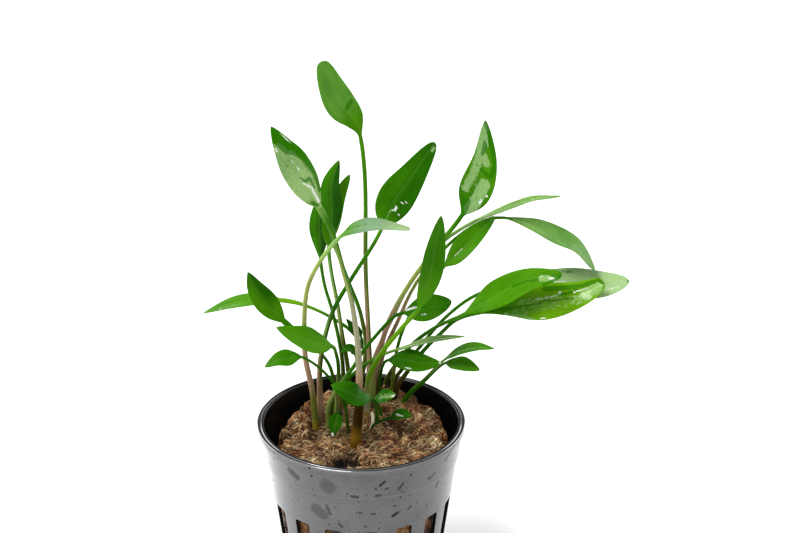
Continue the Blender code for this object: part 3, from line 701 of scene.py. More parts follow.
def wool_finish(name, lightness):
    """lightness moves the mix of browns towards pale."""
    made, tree, shader = new_material(name)
    place = add(tree, "ShaderNodeTexCoord").outputs["Object"]
    cloud = add(tree, "ShaderNodeTexNoise", {"Vector": place, "Scale": 1 / (4 * MM), "Detail": 3.0})
    # Streaks like matted fibres: noise drawn out along X, on a place that wanders
    wander = vectors(tree, "MULTIPLY", cloud.outputs["Color"], (3 * MM,) * 3)
    drawn_out = vectors(tree, "MULTIPLY", vectors(tree, "ADD", place, wander), (0.3, 1.0, 1.0))
    fleck = add(tree, "ShaderNodeTexNoise", {"Vector": drawn_out, "Scale": 1 / (0.5 * MM), "Detail": 4.0})
    # On the fibres this value is a tone that differs at random; on the plug it is painted light on the lumps and
    # painted shade in the low places
    shade = add(tree, "ShaderNodeAttribute", attribute_name="shade").outputs["Fac"]
    mixed = maths(tree, "ADD", maths(tree, "MULTIPLY", fleck.outputs["Fac"], 1.1), lightness - 0.85)
    mixed = maths(tree, "ADD", mixed, maths(tree, "MULTIPLY", cloud.outputs["Fac"], 1.1))
    mixed = maths(tree, "ADD", mixed, shade)
    browns = colour_ramp(tree, mixed, ((0.12, WOOL_DARK), (0.38, WOOL_MID), (0.66, WOOL_TAN), (0.95, WOOL_PALE)))
    inputs = {"Vector": place, "Scale": 1 / (5 * MM), "Detail": 2.0, "W": 3.0}
    dust = add(tree, "ShaderNodeTexNoise", inputs, noise_dimensions="4D")
    dusty = colour_ramp(tree, dust.outputs["Fac"], ((0.5, grey(0.0)), (0.62, grey(0.8))))
    browns = blend(tree, dusty, browns, WOOL_ROSE, "MULTIPLY")
    # Painted shade: what lies deep, in hollows, low places and along the wall, is darkened nearly to black
    deep = add(tree, "ShaderNodeAttribute", attribute_name="deep").outputs["Fac"]
    browns = blend(tree, deep, browns, PAINTED_SHADE_BLACK)
    tree.links.new(browns, shader.inputs["Base Color"])
    wet = colour_ramp(tree, cloud.outputs["Fac"], ((0.4, grey(0.4)), (0.6, grey(0.7))))
    tree.links.new(wet, shader.inputs["Roughness"])
    shader.inputs["Specular IOR Level"].default_value = 0.3
    bump = add(tree, "ShaderNodeBump", {"Strength": 1.0, "Distance": 0.4 * MM, "Height": fleck.outputs["Fac"]})
    tree.links.new(bump.outputs["Normal"], shader.inputs["Normal"])
    return made


stained_wool = wool_finish("stained_rockwool", -0.02)
print("finish", stained_wool.name)

# %% Painted shade in the depths, and the plug itself
deep = wool_mesh.verts.layers.float.new("deep")
shade = wool_mesh.verts.layers.float.new("shade")
for corner in wool_mesh.verts:
    x, y, z = corner.co
    if corner[on_top]:
        lift = tear(x, y)
        # Painted shade: darker in the hollows, between the lumps and near the wall
        rim_shade = 0.4 * smooth(math.hypot(x, y), WOOL_TOP_RADIUS - 1.5, WOOL_TOP_RADIUS)
        corner[deep] = min(1.0, smooth(hollow_at(x, y), 0.7, 2.2) + 0.6 * smooth(-lift, 0.2, 0.9) + rim_shade)
        # Painted light and shade: raised lumps lighter, low places darker
        corner[shade] = 0.25 * lift
    else:
        # Painted shade on the side of the plug below its top, in blotches
        below = smooth(WOOL_SIDE_TOP - z, 0.0, 3.0)
        corner[deep] = below * (0.35 + 0.5 * smooth(noise.noise(corner.co / 2.5), -0.2, 0.4))
wool = finished(wool_mesh, "rockwool_plug", stained_wool, "rockwool")

# %% [markdown]
# ### Loose fibres
#
# Torn rockwool frays into fine curly strands that lie matted on each other. One tuft of strands
# is drawn flat. It is then copied many times, turned and laid over the lumps of the plug, so
# that each copy follows the surface below it. Most strands lie as the plug was torn, from side
# to side, and bend round the hollows.

# %% One tuft
STRANDS = 40
STRAND_SEGMENTS = 5
TUFT_REACH = 2.6
STRAND_LENGTHS = (2.0, 6.5)
STRAND_WIDTH = (0.13, 0.32)


def strand(length, width):
    """A three-sided thread along X that thins to both ends."""
    mesh = bmesh.new()
    drawn = bmesh.ops.create_circle(mesh, cap_ends=False, radius=0.5 * width, segments=3)
    bmesh.ops.rotate(mesh, matrix=Matrix.Rotation(math.pi / 2, 3, "Y"), verts=drawn["verts"])
    edges = list({edge for corner in drawn["verts"] for edge in corner.link_edges})
    for k in range(STRAND_SEGMENTS):
        grown = bmesh.ops.extrude_edge_only(mesh, edges=edges)
        corners = [part for part in grown["geom"] if isinstance(part, bmesh.types.BMVert)]
        edges = [part for part in grown["geom"] if isinstance(part, bmesh.types.BMEdge)]
        edges = [edge for edge in edges if all(end in corners for end in edge.verts)]
        bmesh.ops.translate(mesh, vec=(length / STRAND_SEGMENTS, 0, 0), verts=corners)
    for corner in mesh.verts:
        t = corner.co.x / length
        thin = 0.35 + 0.65 * math.sin(math.pi * min(1.0, max(0.0, t)))
        corner.co.y *= thin
        corner.co.z *= thin
    return mesh


def tuft(rng):
    """Strands across each other, each with its own curl, rise and shade."""
    whole = bmesh.new()
    for _ in range(STRANDS):
        length = rng.uniform(*STRAND_LENGTHS)
        thread = strand(length, rng.uniform(*STRAND_WIDTH))
        shade = thread.verts.layers.float.new("shade")
        tone = rng.gauss(0.0, 0.26)
        curl = rng.uniform(-0.7, 0.7) / length
        wave = rng.uniform(0.0, 0.35)
        phase = rng.uniform(0, 6.3)
        rise = rng.uniform(-0.02, 0.14)
        for corner in thread.verts:
            x = corner.co.x - 0.5 * length
            corner.co.x = x
            corner.co.y += curl * x * x + wave * math.sin(1.4 * x + phase)
            corner.co.z += rise * x + 0.18 * math.sin(1.1 * x + phase)
            corner[shade] = tone
        spin = Matrix.Rotation(rng.gauss(0, 0.45), 3, "Z")
        bmesh.ops.rotate(thread, matrix=spin, verts=thread.verts)
        offset = (rng.uniform(-1, 1) * TUFT_REACH, rng.uniform(-1, 1) * TUFT_REACH, rng.uniform(-0.1, 0.4))
        bmesh.ops.translate(thread, vec=offset, verts=thread.verts)
        data = bpy.data.meshes.new("thread")
        thread.to_mesh(data)
        thread.free()
        whole.from_mesh(data)
        bpy.data.meshes.remove(data)
    data = bpy.data.meshes.new("tuft")
    whole.to_mesh(data)
    whole.free()
    return data


tufts = [tuft(random.Random(seed)) for seed in range(5)]
print(len(tufts[0].vertices), "corners in a tuft")

# %% Lay the tufts
TUFT_COUNT = 160
LAY_RADIUS = WOOL_TOP_RADIUS - 0.4
GOLDEN_ANGLE = 2.39996


def fibres(name, finish, seed, lift):
    """A mat of tufts that follows the top of the plug."""
    rng = random.Random(seed)
    whole = bmesh.new()
    shade = whole.verts.layers.float.new("shade")
    for k in range(TUFT_COUNT):
        start = len(whole.verts)
        whole.from_mesh(tufts[rng.randrange(len(tufts))])
        whole.verts.ensure_lookup_table()
        fresh = whole.verts[start:]
        radius = LAY_RADIUS * math.sqrt((k + 0.5) / TUFT_COUNT)
        angle = k * GOLDEN_ANGLE + rng.uniform(-0.2, 0.2)
        middle = Vector((radius * math.cos(angle), radius * math.sin(angle), 0))
        along = 0.5 * noise.noise(middle / 6.0) * math.pi + rng.gauss(0, 0.35)
        tone = 0.5 * noise.noise(Vector((middle.x, middle.y, 60)) / 3.4)
        bmesh.ops.rotate(whole, matrix=Matrix.Rotation(along, 3, "Z"), verts=fresh)
        bmesh.ops.translate(whole, vec=middle, verts=fresh)
        for corner in fresh:
            corner[shade] += tone
    deep = whole.verts.layers.float.new("deep")
    for corner in whole.verts:
        x, y, z = corner.co
        reach = math.hypot(x, y)
        if reach > LAY_RADIUS:
            x, y = x * LAY_RADIUS / reach, y * LAY_RADIUS / reach
        corner.co.z = wool_height(x, y) + max(-0.1, z) + lift
        pull = ragged_edge(x, y, WOOL_SIDE_TOP)
        corner.co.x, corner.co.y = x * pull, y * pull
        # Painted shade over the hollows and between the lumps
        corner[deep] = min(1.0, smooth(hollow_at(x, y), 1.2, 3.2) + 0.35 * smooth(-tear(x, y), 0.2, 0.9))
    return finished(whole, name, finish, None)


fibre_mats = [
    fibres("rockwool_fibres_brown", wool_finish("brown_rockwool_fibre", -0.02), 11, 0.0),
    fibres("rockwool_fibres_tan", wool_finish("tan_rockwool_fibre", 0.16), 12, 0.15),
]
print([len(mat.data.polygons) for mat in fibre_mats], "faces in the fibre mats")

# %% [markdown]
# ## The leaves
#
# Each leaf is a round stalk that flattens into a lance-shaped blade. It grew as one piece, so it
# is one mesh. Its midrib follows guide points in the shared frame, the same that the CAD leaf
# follows, and its outline comes from the same formula, drawn with many more rings.

# %% The leaf table
# From the root up: the stalk's route, the blade's midrib, the blade's width, where its upper face
# looks, and the stalk's width at the root and at the blade. Optional: how far along the blade is
# widest, and how sharp its tip is. All in millimetres.
ROOT_Z = 43.0
LEAVES = {
    "leaf_tall": dict(
        stalk=((0.2, 12, ROOT_Z), (2, 10.5, 59), (2, 10.5, 68), (1.3, 9.5, 89), (1.4, 7.5, 112.6)),
        blade=(
            (0.5, 6, 126), (-1.3, 5, 132.3), (-4.6, 4.5, 136.7), (-6.9, 4, 141.7), (-9.1, 3, 148.4),
        ),
        width=7.8, faces=(0.1, -0.9, 0.4), stalk_width=(1.6, 1.1), widest=0.52, tip=0.36,
    ),
    "leaf_wet_left": dict(
        stalk=(
            (-1.5, -2, ROOT_Z), (-0.5, -2, 57), (-0.5, -2.5, 70.5), (-2, -3, 85), (-4, -4, 94.5),
            (-6.5, -5.2, 105.4), (-8.4, -6, 110.2),
        ),
        blade=(
            (-9.8, -6.5, 113.3), (-12.8, -7.5, 119.3), (-16.3, -8.2, 126.4), (-18.7, -8.5, 130.8),
            (-21.3, -8, 135.5),
        ),
        width=7.9, faces=(0.2, -0.9, 0.5), stalk_width=(3.2, 1.2), widest=0.4, tip=0.75,
    ),
    "leaf_upright_front": dict(
        stalk=((-2.5, 15, ROOT_Z), (1, 14, 62), (0, 11, 75), (-3, 6, 87), (-5.5, 3, 96)),
        blade=((-7, 1, 102), (-7, 0.5, 110), (-7, 0, 117), (-5, 0, 123.5)),
        width=6.2, faces=(-0.4, -0.9, 0.2), stalk_width=(1.4, 1.0),
    ),
    "leaf_upright_back": dict(
        stalk=((-4, 13, ROOT_Z), (-3.5, 12, 57), (-5, 9, 70.5), (-6, 7, 80), (-7.5, 5, 90.5)),
        blade=((-8, 4, 97.5), (-7.5, 4, 104), (-5.8, 4, 111), (-2.5, 4, 118)),
        width=5.0, faces=(0.3, -0.9, 0.2), stalk_width=(1.4, 1.0), tip=0.6,
    ),
    "leaf_behind_left": dict(
        stalk=(
            (-6, 14.5, ROOT_Z), (-5, 14, 54.5), (-5.5, 12, 64.5), (-7.5, 9.5, 77),
            (-9.3, 8.5, 84.6),
        ),
        blade=((-10.2, 7.5, 91.6), (-10.4, 7, 98.1), (-10.5, 6.5, 104.4), (-9.9, 6, 112.1)),
        width=5.4, faces=(-0.3, -0.9, 0.1), stalk_width=(1.4, 0.9), widest=0.55,
    ),
    "leaf_arch": dict(
        stalk=(
            (-12, 4, ROOT_Z), (-12.8, 3.5, 56.1), (-14.5, 2, 67.5), (-14.5, 0.5, 78.6),
            (-13.4, -3, 89.4), (-10.4, -6.5, 97.8),
        ),
        blade=((-5.7, -9, 105.4), (-1.4, -10, 108.9), (5.3, -10.5, 110.2), (12.8, -10, 109.1)),
        width=8.2, faces=(0, 0, 1), stalk_width=(1.8, 1.1), tip=0.4,
    ),
    "leaf_centre_right": dict(
        stalk=(
            (-10.5, 5.5, ROOT_Z), (-11, 5.5, 55.5), (-10.5, 4.5, 66.5), (-7.5, 2.5, 79.5),
            (-3, 0, 89.5), (3.2, 0, 100),
        ),
        blade=((5.8, 0, 105.3), (9.1, 0, 113), (13.4, 0, 119.6), (18.9, 0, 128.2)),
        width=9.3, faces=(0.2, -0.85, 0.5), stalk_width=(1.8, 1.0), widest=0.36, tip=0.5,
    ),
    "leaf_wet_right": dict(
        stalk=(
            (2.8, 15, ROOT_Z), (2.8, 14.8, 53.5), (4.5, 14, 62), (7.5, 12, 73.5), (13, 9.5, 85.5),
            (20, 7, 97),
        ),
        blade=((25.4, 5, 105.4), (29, 4, 112.7), (31.5, 3, 122.3), (31.5, 2, 133.3)),
        width=8.6, faces=(-0.1, -0.9, 0.4), stalk_width=(2.0, 1.2), widest=0.42, base=1.9, tip=0.7,
    ),
    "leaf_edge_right": dict(
        stalk=(
            (1, 17.2, ROOT_Z), (1.6, 16.8, 53), (4, 16, 62), (8, 14, 72.5), (13, 12.5, 84),
            (20.5, 10.8, 95.6),
        ),
        blade=((29, 9.2, 102.7), (35.9, 8.5, 106.1), (43.5, 8, 109.2), (51.2, 7.5, 110.7)),
        width=5.6, faces=(0, 0.1, 1), stalk_width=(1.4, 0.9), tip=0.5,
    ),
    "leaf_hanging_right": dict(
        stalk=(
            (3.8, 18.8, ROOT_Z), (4.4, 17.8, 54), (6, 16.5, 62), (9.5, 14.5, 71.5),
            (14.5, 13.5, 83.5), (22.5, 11.5, 95), (30.5, 10.3, 102),
        ),
        blade=(
            (36.8, 9, 104), (44, 7.6, 102.6), (50.3, 6.4, 100), (55.9, 5.8, 97.1), (60.5, 5, 91.1),
        ),
        width=9.3, faces=(0.4, -0.15, 0.9), stalk_width=(1.7, 0.8), widest=0.5, tip=0.48,
    ),
    "leaf_under_right": dict(
        stalk=(
            (7, 15.5, ROOT_Z), (8.5, 14.5, 56.5), (9.5, 13, 64.5), (11.5, 11.5, 72), (16, 10.8, 82),
        ),
        blade=((21.4, 8.2, 90.2), (25.2, 6.8, 95.1), (29.5, 5.8, 100.3), (34.5, 5.2, 106)),
        width=6.2, faces=(-0.5, -0.7, 0.5), stalk_width=(1.2, 0.8), tip=0.6,
    ),
    "leaf_front_upright": dict(
        stalk=(
            (1.4, 9.4, ROOT_Z), (1.5, 8.5, 51.5), (2, 6, 59.5), (5.5, 1.5, 69), (10.5, -2, 77.6),
            (13.6, -4, 82.4),
        ),
        blade=((15.2, -4.5, 85), (17.5, -5, 92.5), (18.9, -5.5, 100.8), (20.5, -6, 110.9)),
        width=6.4, faces=(0.4, -0.9, 0.1), stalk_width=(1.9, 1.1), widest=0.5, base=0.6, tip=0.65,
    ),
    "leaf_wet_dark": dict(
        stalk=(
            (-8.5, 4, ROOT_Z), (-8.8, 4, 51.5), (-6, 3, 58), (-2, 2, 64.5), (0.5, 2, 69),
            (5, 2, 75), (8.5, 2, 79),
        ),
        blade=((10.7, 2, 80.1), (14.9, 1.5, 81.2), (19.5, 1, 82.7), (23.5, 0.5, 84.2)),
        width=7.2, faces=(0, -0.7, 0.7), stalk_width=(1.4, 0.9), widest=0.5, tip=0.6,
    ),
    "leaf_big_front": dict(
        stalk=(
            (5.6, 21.5, ROOT_Z), (6.2, 19.5, 50.5), (8.5, 16.5, 57), (13.5, 12.5, 66),
            (18.5, 9, 72), (23, 6, 76),
        ),
        blade=(
            (26.3, 3.5, 78.9), (30.9, 1.5, 83), (36.4, 0, 87.1), (43.1, -1.5, 91.2),
            (51.4, -2.5, 93.2),
        ),
        width=8.0, faces=(0, -0.6, 0.8), stalk_width=(1.5, 0.9), widest=0.52, tip=0.45,
    ),
    "leaf_big_wet": dict(
        stalk=(
            (7.8, 17.5, ROOT_Z), (9.5, 15.5, 51.5), (12, 12.5, 57.5), (16, 9.5, 65),
            (21, 7.6, 71.7),
        ),
        blade=(
            (26.5, 5.6, 77.3), (39.2, 2.6, 81.4), (47.8, 0.6, 83.9), (56, 0.4, 86.2),
            (62.5, 0.6, 89.5),
        ),
        width=9.8, faces=(0, -0.7, 0.7), stalk_width=(1.7, 1.0), widest=0.5, base=2.5, tip=0.35,
    ),
    "leaf_big_back": dict(
        stalk=(
            (7.8, 21, ROOT_Z), (8.6, 19, 51.5), (11.5, 16.5, 57.5), (15.5, 13.8, 64.5),
            (22, 10.8, 74.5),
        ),
        blade=((30.5, 8.5, 82.5), (41.5, 7, 86), (53, 6, 86.8), (62, 5.5, 86.6), (69.5, 5, 87.9)),
        width=9.1, faces=(0, -0.6, 0.8), stalk_width=(1.4, 0.9), widest=0.6, tip=0.55,
    ),
    "leaf_thin_arch": dict(
        stalk=((-8, 7, ROOT_Z), (-7.5, 6.5, 54.5), (-4, 6, 58.5), (0, 6, 62.5), (4.5, 6.4, 65.3)),
        blade=((9, 6, 67.5), (15.5, 4.5, 70.2), (21.5, 3.3, 72.3), (27, 2.4, 73.3)),
        width=5.2, faces=(0, 0.05, 1), stalk_width=(1.1, 0.8),
    ),
    "leaf_dark_front": dict(
        stalk=((5.2, 16, ROOT_Z), (4.6, 16, 51), (5, 15.8, 55), (5.6, 11.5, 60)),
        blade=((7, 8, 63.5), (11.5, 4.5, 65.5), (16, 2.5, 65.5), (21, 1.5, 66)),
        width=6.2, faces=(0.1, -0.75, 0.65), stalk_width=(1.0, 0.8),
    ),
    "leaf_right_upper": dict(
        stalk=((9.5, 14, ROOT_Z), (11.8, 13, 50.1), (16.7, 9, 57.4)),
        blade=((21.3, 4.5, 64.9), (25.4, 3, 68.6), (30.3, 2, 70.3), (34.8, 1.5, 70.2)),
        width=5.0, faces=(0, -0.15, 1), stalk_width=(1.0, 0.7),
    ),
    "leaf_right_lower": dict(
        stalk=((11, 15.5, ROOT_Z), (12.3, 14.5, 48.8), (17, 10.5, 56.2)),
        blade=((21.7, 6.5, 63.2), (24.9, 4.5, 64.3), (28, 3, 64.3), (31.1, 2, 63.7)),
        width=5.0, faces=(0, -0.4, 0.9), stalk_width=(1.0, 0.7), tip=0.65,
    ),
    "leaf_far_left": dict(
        stalk=(
            (1, 20.2, ROOT_Z), (1.6, 18, 57.5), (-2, 15.5, 67.5), (-8.5, 14, 73.5),
            (-15.1, 13, 77.3),
        ),
        blade=((-20.3, 13, 78.6), (-26.7, 13.5, 78.6), (-34.1, 14, 77.4), (-41.8, 14, 74.5)),
        width=7.0, faces=(0, -0.15, 1), stalk_width=(1.3, 0.8),
    ),
    "leaf_left_pointed": dict(
        stalk=((-8, 13.5, ROOT_Z), (-7.5, 13.2, 54), (-9.5, 12.5, 61.5), (-15, 11.5, 68)),
        blade=((-19.7, 11, 72.8), (-23.6, 10.5, 77.6), (-27.2, 10, 82.9), (-29.4, 10, 88.2)),
        width=6.1, faces=(0.1, -0.85, 0.5), stalk_width=(1.2, 0.8),
    ),
    "leaf_left_bright": dict(
        stalk=((-7, 10.7, ROOT_Z), (-6.5, 9.5, 51.5), (-6, 6.5, 61.5), (-6.5, 3.8, 67.5)),
        blade=((-7.5, 0.8, 71.2), (-12, -2, 73.9), (-16.4, -3.8, 76.5), (-21.4, -5, 79.5)),
        width=7.4, faces=(-0.1, -0.6, 0.8), stalk_width=(1.5, 0.9), widest=0.4,
    ),
    "leaf_left_small": dict(
        stalk=((-3.4, 3.2, ROOT_Z), (-4.4, 1.5, 54.5), (-7, -1.5, 61.5), (-10.5, -3.5, 67)),
        blade=((-14.8, -4.5, 70.6), (-18.1, -5, 70.7), (-21.2, -5.5, 70.5), (-24.7, -6, 68.6)),
        width=5.4, faces=(0, -0.35, 0.9), stalk_width=(1.0, 0.7),
    ),
    "leaf_low_left": dict(
        stalk=((4.2, 6.6, ROOT_Z), (4, 4.8, 49.8)),
        blade=((2.8, -2, 57.2), (-0.6, -6.2, 60.2), (-4, -8, 62.9), (-7.5, -8.8, 64.9)),
        width=5.8, faces=(0, -0.7, 0.7), stalk_width=(1.0, 0.8),
    ),
    "leaf_low_right": dict(
        stalk=((5.4, 8.4, ROOT_Z), (5, 7, 49)),
        blade=((3.8, 2.6, 54.8), (5.3, 1, 56.3), (7, -0.2, 57.2), (9, -1.2, 58)),
        width=4.4, faces=(0, -0.6, 0.8), stalk_width=(0.9, 0.7), tip=0.6,
    ),
    "leaf_tiny_front": dict(
        stalk=((-5.8, 6.8, ROOT_Z), (-5.6, 5, 49.5)),
        blade=((-6, 2, 51), (-6.5, 0, 50.4), (-7, -1.8, 48.8), (-7.5, -3, 46.6)),
        width=3.6, faces=(0, -0.9, 0.5), stalk_width=(0.9, 0.7),
    ),
    "leaf_soil_right": dict(
        stalk=((2, 0.5, ROOT_Z), (3, 1, 47.5), (5, 2, 48.5)),
        blade=((7.5, 2.8, 49), (9.5, 2.8, 49.8), (11.5, 2.4, 50.2), (13.2, 1.8, 50)),
        width=3.6, faces=(0, -0.4, 0.9), stalk_width=(0.8, 0.6), tip=0.5,
    ),
    "leaf_hidden_tip": dict(
        stalk=((-1.4, 17, ROOT_Z), (0.8, 15.8, 60)),
        blade=((0, 14.8, 66.5), (-1, 14.4, 69), (-2.5, 14, 71), (-4, 13.5, 73)),
        width=2.6, faces=(-0.3, -0.9, 0.2), stalk_width=(0.8, 0.7),
    ),
    "leaf_small_mid": dict(
        stalk=((-1.2, 8.6, ROOT_Z), (-1, 8, 60)),
        blade=((-1.4, 7.5, 64.7), (-2.4, 7, 67.2), (-3.8, 6.5, 67.7), (-5.3, 6, 66.7)),
        width=2.6, faces=(0, -0.6, 0.8), stalk_width=(0.9, 0.7),
    ),
}
print(len(LEAVES), "leaves")

# %% [markdown]
# ### Colours of the leaves
#
# Old leaves are deep green, young ones lighter. The stalks run from brown or pinkish at the foot
# to light green under the blade. A few named colours cover all of this, and each leaf names its
# own: some up the stalk, each with how far up it stands, and three along the blade. Two colours
# joined by a stroke are the left and the right side, seen with the tip up. On a blade that split is
# painted light and shade: one half painted lit, the other painted in shade. Up a stalk the lighter
# left side is painted light over the stalk's own pink, brown and green.

# %% The palette
PALETTE = {
    "deep": 0x185404,
    "dark": 0x266A04,
    "mid": 0x377F06,
    "fresh": 0x4E950B,
    "lime": 0x6CA80E,
    "bright": 0x62A136,
    "light": 0x7CB04C,
    "leek": 0x93BE66,
    # ash and milky are painted sheen: a pale painted reflection of the white studio on wet blades
    "ash": 0x86AC80,
    "pale": 0x94BE78,
    "milky": 0xAFCF97,
    "olive": 0x748030,
    "moss": 0x56681C,
    "brown": 0x644E28,
    "umber": 0x43300F,
    "rose": 0xC29C7C,
    "cream": 0xB0AE8A,
    "straw": 0xA4B460,
    "orange": 0xC09428,
}
# Leaf: colours up the stalk, then along the blade
COLOURS = {
    "leaf_tall": ("brown rose/moss:.12 rose/moss:.34 rose/olive:.48 olive/mid:.62 fresh:.8 fresh", "fresh bright bright"),
    "leaf_wet_left": ("orange umber:.07 umber:.15 rose:.2 cream:.26 cream:.4 straw/mid:.5 mid:.8 light", "leek mid mid"),
    "leaf_upright_front": ("olive olive:.15 leek/olive:.3 leek/mid:.5 light/mid:.8 mid", "mid/deep mid/deep mid/deep"),
    "leaf_upright_back": ("olive olive:.15 moss:.3 straw/mid:.5 leek/mid:.8 fresh", "fresh fresh fresh"),
    "leaf_behind_left": ("olive olive:.15 moss:.3 light/mid:.5 light/mid:.8 mid", "mid/deep mid/deep mid/deep"),
    "leaf_arch": ("orange olive:.08 olive:.14 rose:.22 rose:.36 straw:.45 leek/straw:.75 leek", "bright ash milky"),
    "leaf_centre_right": ("brown rose:.12 rose/moss:.28 leek/moss:.38 dark:.55 mid:.8 fresh", "mid/dark mid/dark dark"),
    "leaf_wet_right": ("olive straw:.15 rose:.28 rose:.5 straw:.62 straw:.78 fresh:.92 mid", "mid fresh mid"),
    "leaf_edge_right": ("olive rose:.3 rose:.5 straw:.65 fresh:.8 leek", "leek light light"),
    "leaf_hanging_right": ("olive rose:.2 rose:.45 straw:.6 fresh:.75 fresh", "light bright bright"),
    "leaf_under_right": ("olive olive:.2 mid:.5 fresh", "fresh fresh mid"),
    "leaf_front_upright": ("cream orange:.07 cream:.12 straw:.22 lime:.4 lime:.75 fresh", "fresh mid mid"),
    "leaf_wet_dark": ("olive straw:.2 mid:.4 dark:.7 dark", "mid mid dark"),
    "leaf_big_front": ("brown olive:.3 moss:.45 mid:.6 fresh", "fresh fresh fresh"),
    "leaf_big_wet": ("umber brown:.3 moss:.45 mid:.6 mid", "fresh lime lime"),
    "leaf_big_back": ("umber olive:.35 mid:.6 mid", "light milky milky"),
    "leaf_thin_arch": ("olive mid:.2 mid:.6 light", "leek light light"),
    "leaf_dark_front": ("umber moss:.2 mid:.5 mid", "mid mid mid"),
    "leaf_right_upper": ("brown mid:.2 fresh:.6 light", "fresh fresh fresh"),
    "leaf_right_lower": ("brown mid:.2 mid:.6 mid", "fresh fresh fresh"),
    "leaf_far_left": ("brown olive:.2 mid:.4 fresh:.6 lime:.8 lime", "lime fresh fresh"),
    "leaf_left_pointed": ("brown moss:.2 mid:.4 mid", "fresh fresh/dark mid/dark"),
    "leaf_left_bright": ("orange straw:.12 straw:.3 mid:.55 fresh", "fresh fresh fresh"),
    "leaf_left_small": ("moss dark:.3 dark:.7 mid", "mid mid mid"),
    "leaf_low_left": ("brown mid:.3 mid", "dark dark mid"),
    "leaf_low_right": ("brown mid:.3 mid", "dark dark mid"),
    "leaf_tiny_front": ("umber deep:.3 deep", "dark dark dark"),
    "leaf_soil_right": ("umber deep:.3 deep", "dark dark dark"),
    "leaf_hidden_tip": ("brown mid:.3 dark", "deep dark dark"),
    "leaf_small_mid": ("brown mid:.3 dark", "dark dark dark"),
}
BLADE_STOPS = (0.2, 0.55, 0.95)


def colour_stops(words):
    """(where, left colour, right colour) for each word, such as mid, rose/olive:.3 or light."""
    stops = []
    for k, word in enumerate(words.split()):
        names, _, where = word.partition(":")
        pair = [Vector(seen(PALETTE[name])) for name in names.split("/")]
        stops.append((float(where) if where else float(k > 0), pair[0], pair[-1]))
    return stops


def tint_at(stalk, blade, part, t, across):
    """A leaf's colour, t along its stalk (part 0) or its blade (part 1), across from -1 to 1."""
    stops = [(0.0, *stalk[-1][1:]), *blade] if part else stalk
    # Left and right colours: on a blade one half is painted lit and the other painted in shade; up a stalk the left
    # side is painted lit
    right = smooth(across, -0.4, 0.4)
    colours = [left.lerp(other, right) for _, left, other in stops]
    for k in range(len(stops) - 1):
        if t <= stops[k + 1][0]:
            return colours[k].lerp(colours[k + 1], smooth(t, stops[k][0], stops[k + 1][0]))
    return colours[-1]


print("stops on the first stalk:", [round(stop[0], 2) for stop in colour_stops(COLOURS["leaf_tall"][0])])

# %% [markdown]
# ### Water on the leaves
#
# The plant has just been sprayed, and what the water does to the light is painted into the colour
# of the blades: a pale, whitish painted reflection where a thin film mirrors the white studio, a
# painted dark reflection where thick water mirrors the dark, and small painted glints on the edges
# of drops. The water also makes the skin glossier under the pale strokes and the glints, and raises
# the bump of all three. Each is a stroke on the blade from one place to another. A place is how far
# across (-1 is the left edge with the tip up, 1 the right) and how far along. Then come the stroke's
# half width in millimetres and its strength. The finish breaks the strokes up with noise, as water
# breaks up on a waxy leaf.

# %% The wet strokes: painted reflection, painted dark reflection and painted glints
# Painted reflection: pale strokes where the water film mirrors the white studio; they also make the skin glossier
PAINTED_REFLECTION_STROKES = {
    "leaf_wet_left": (
        (-0.7, 0.72, -0.6, 0.2, 2.0, 1.1), (-0.05, 0.55, 0.15, 0.2, 1.7, 1.1),
        (0.3, 0.5, 0.45, 0.3, 0.8, 1.0), (0.3, 0.15, 0.4, 0.02, 0.8, 1.2), (0.7, 0.88, 0.8, 0.7, 0.2, 0.8),
    ),
    "leaf_wet_right": (
        (-0.55, 0.95, -0.6, 0.35, 1.2, 0.85), (0.35, 0.45, 0.45, 0.15, 1.6, 1.1),
        (0.05, 0.93, 0.2, 0.8, 0.3, 0.8), (-0.15, 0.7, 0.2, 0.63, 0.8, 1.5),
    ),
    "leaf_big_front": ((0.15, 0.84, 0.5, 0.94, 0.9, 0.9),),
    "leaf_big_wet": (
        (0.2, 0.8, 0.2, 0.93, 1.5, 0.85), (-0.3, 0.3, -0.2, 0.6, 1.2, 0.45),
        (0.4, 0.25, 0.4, 0.8, 1.8, 0.42), (0.8, 0.2, 0.9, 0.4, 0.5, 0.55),
    ),
    "leaf_big_back": ((0.0, 0.45, 0.0, 0.95, 3.2, 0.75),),
    "leaf_edge_right": ((0.0, 0.1, 0.0, 0.85, 1.2, 0.45),),
    "leaf_thin_arch": ((0.3, 0.1, 0.3, 0.8, 0.5, 0.75), (-0.6, 0.3, -0.6, 0.7, 0.3, 0.6)),
    "leaf_arch": ((0.3, 0.2, 0.3, 0.5, 1.0, 0.35),),
    "leaf_centre_right": ((0.4, 0.93, 0.5, 0.96, 0.5, 0.7), (0.0, 0.08, 0.05, 0.2, 0.3, 0.6)),
    "leaf_right_upper": ((0.2, 0.3, 0.2, 0.8, 0.4, 0.5),),
    "leaf_low_right": ((0.0, 0.3, 0.2, 0.9, 1.0, 0.55),),
    "leaf_hanging_right": ((0.4, 0.05, 0.6, 0.6, 0.8, 0.45), (0.0, 0.7, 0.6, 0.7, 0.2, 0.6)),
    "leaf_far_left": ((-0.6, 0.5, -0.6, 0.8, 0.7, 0.45),),
}
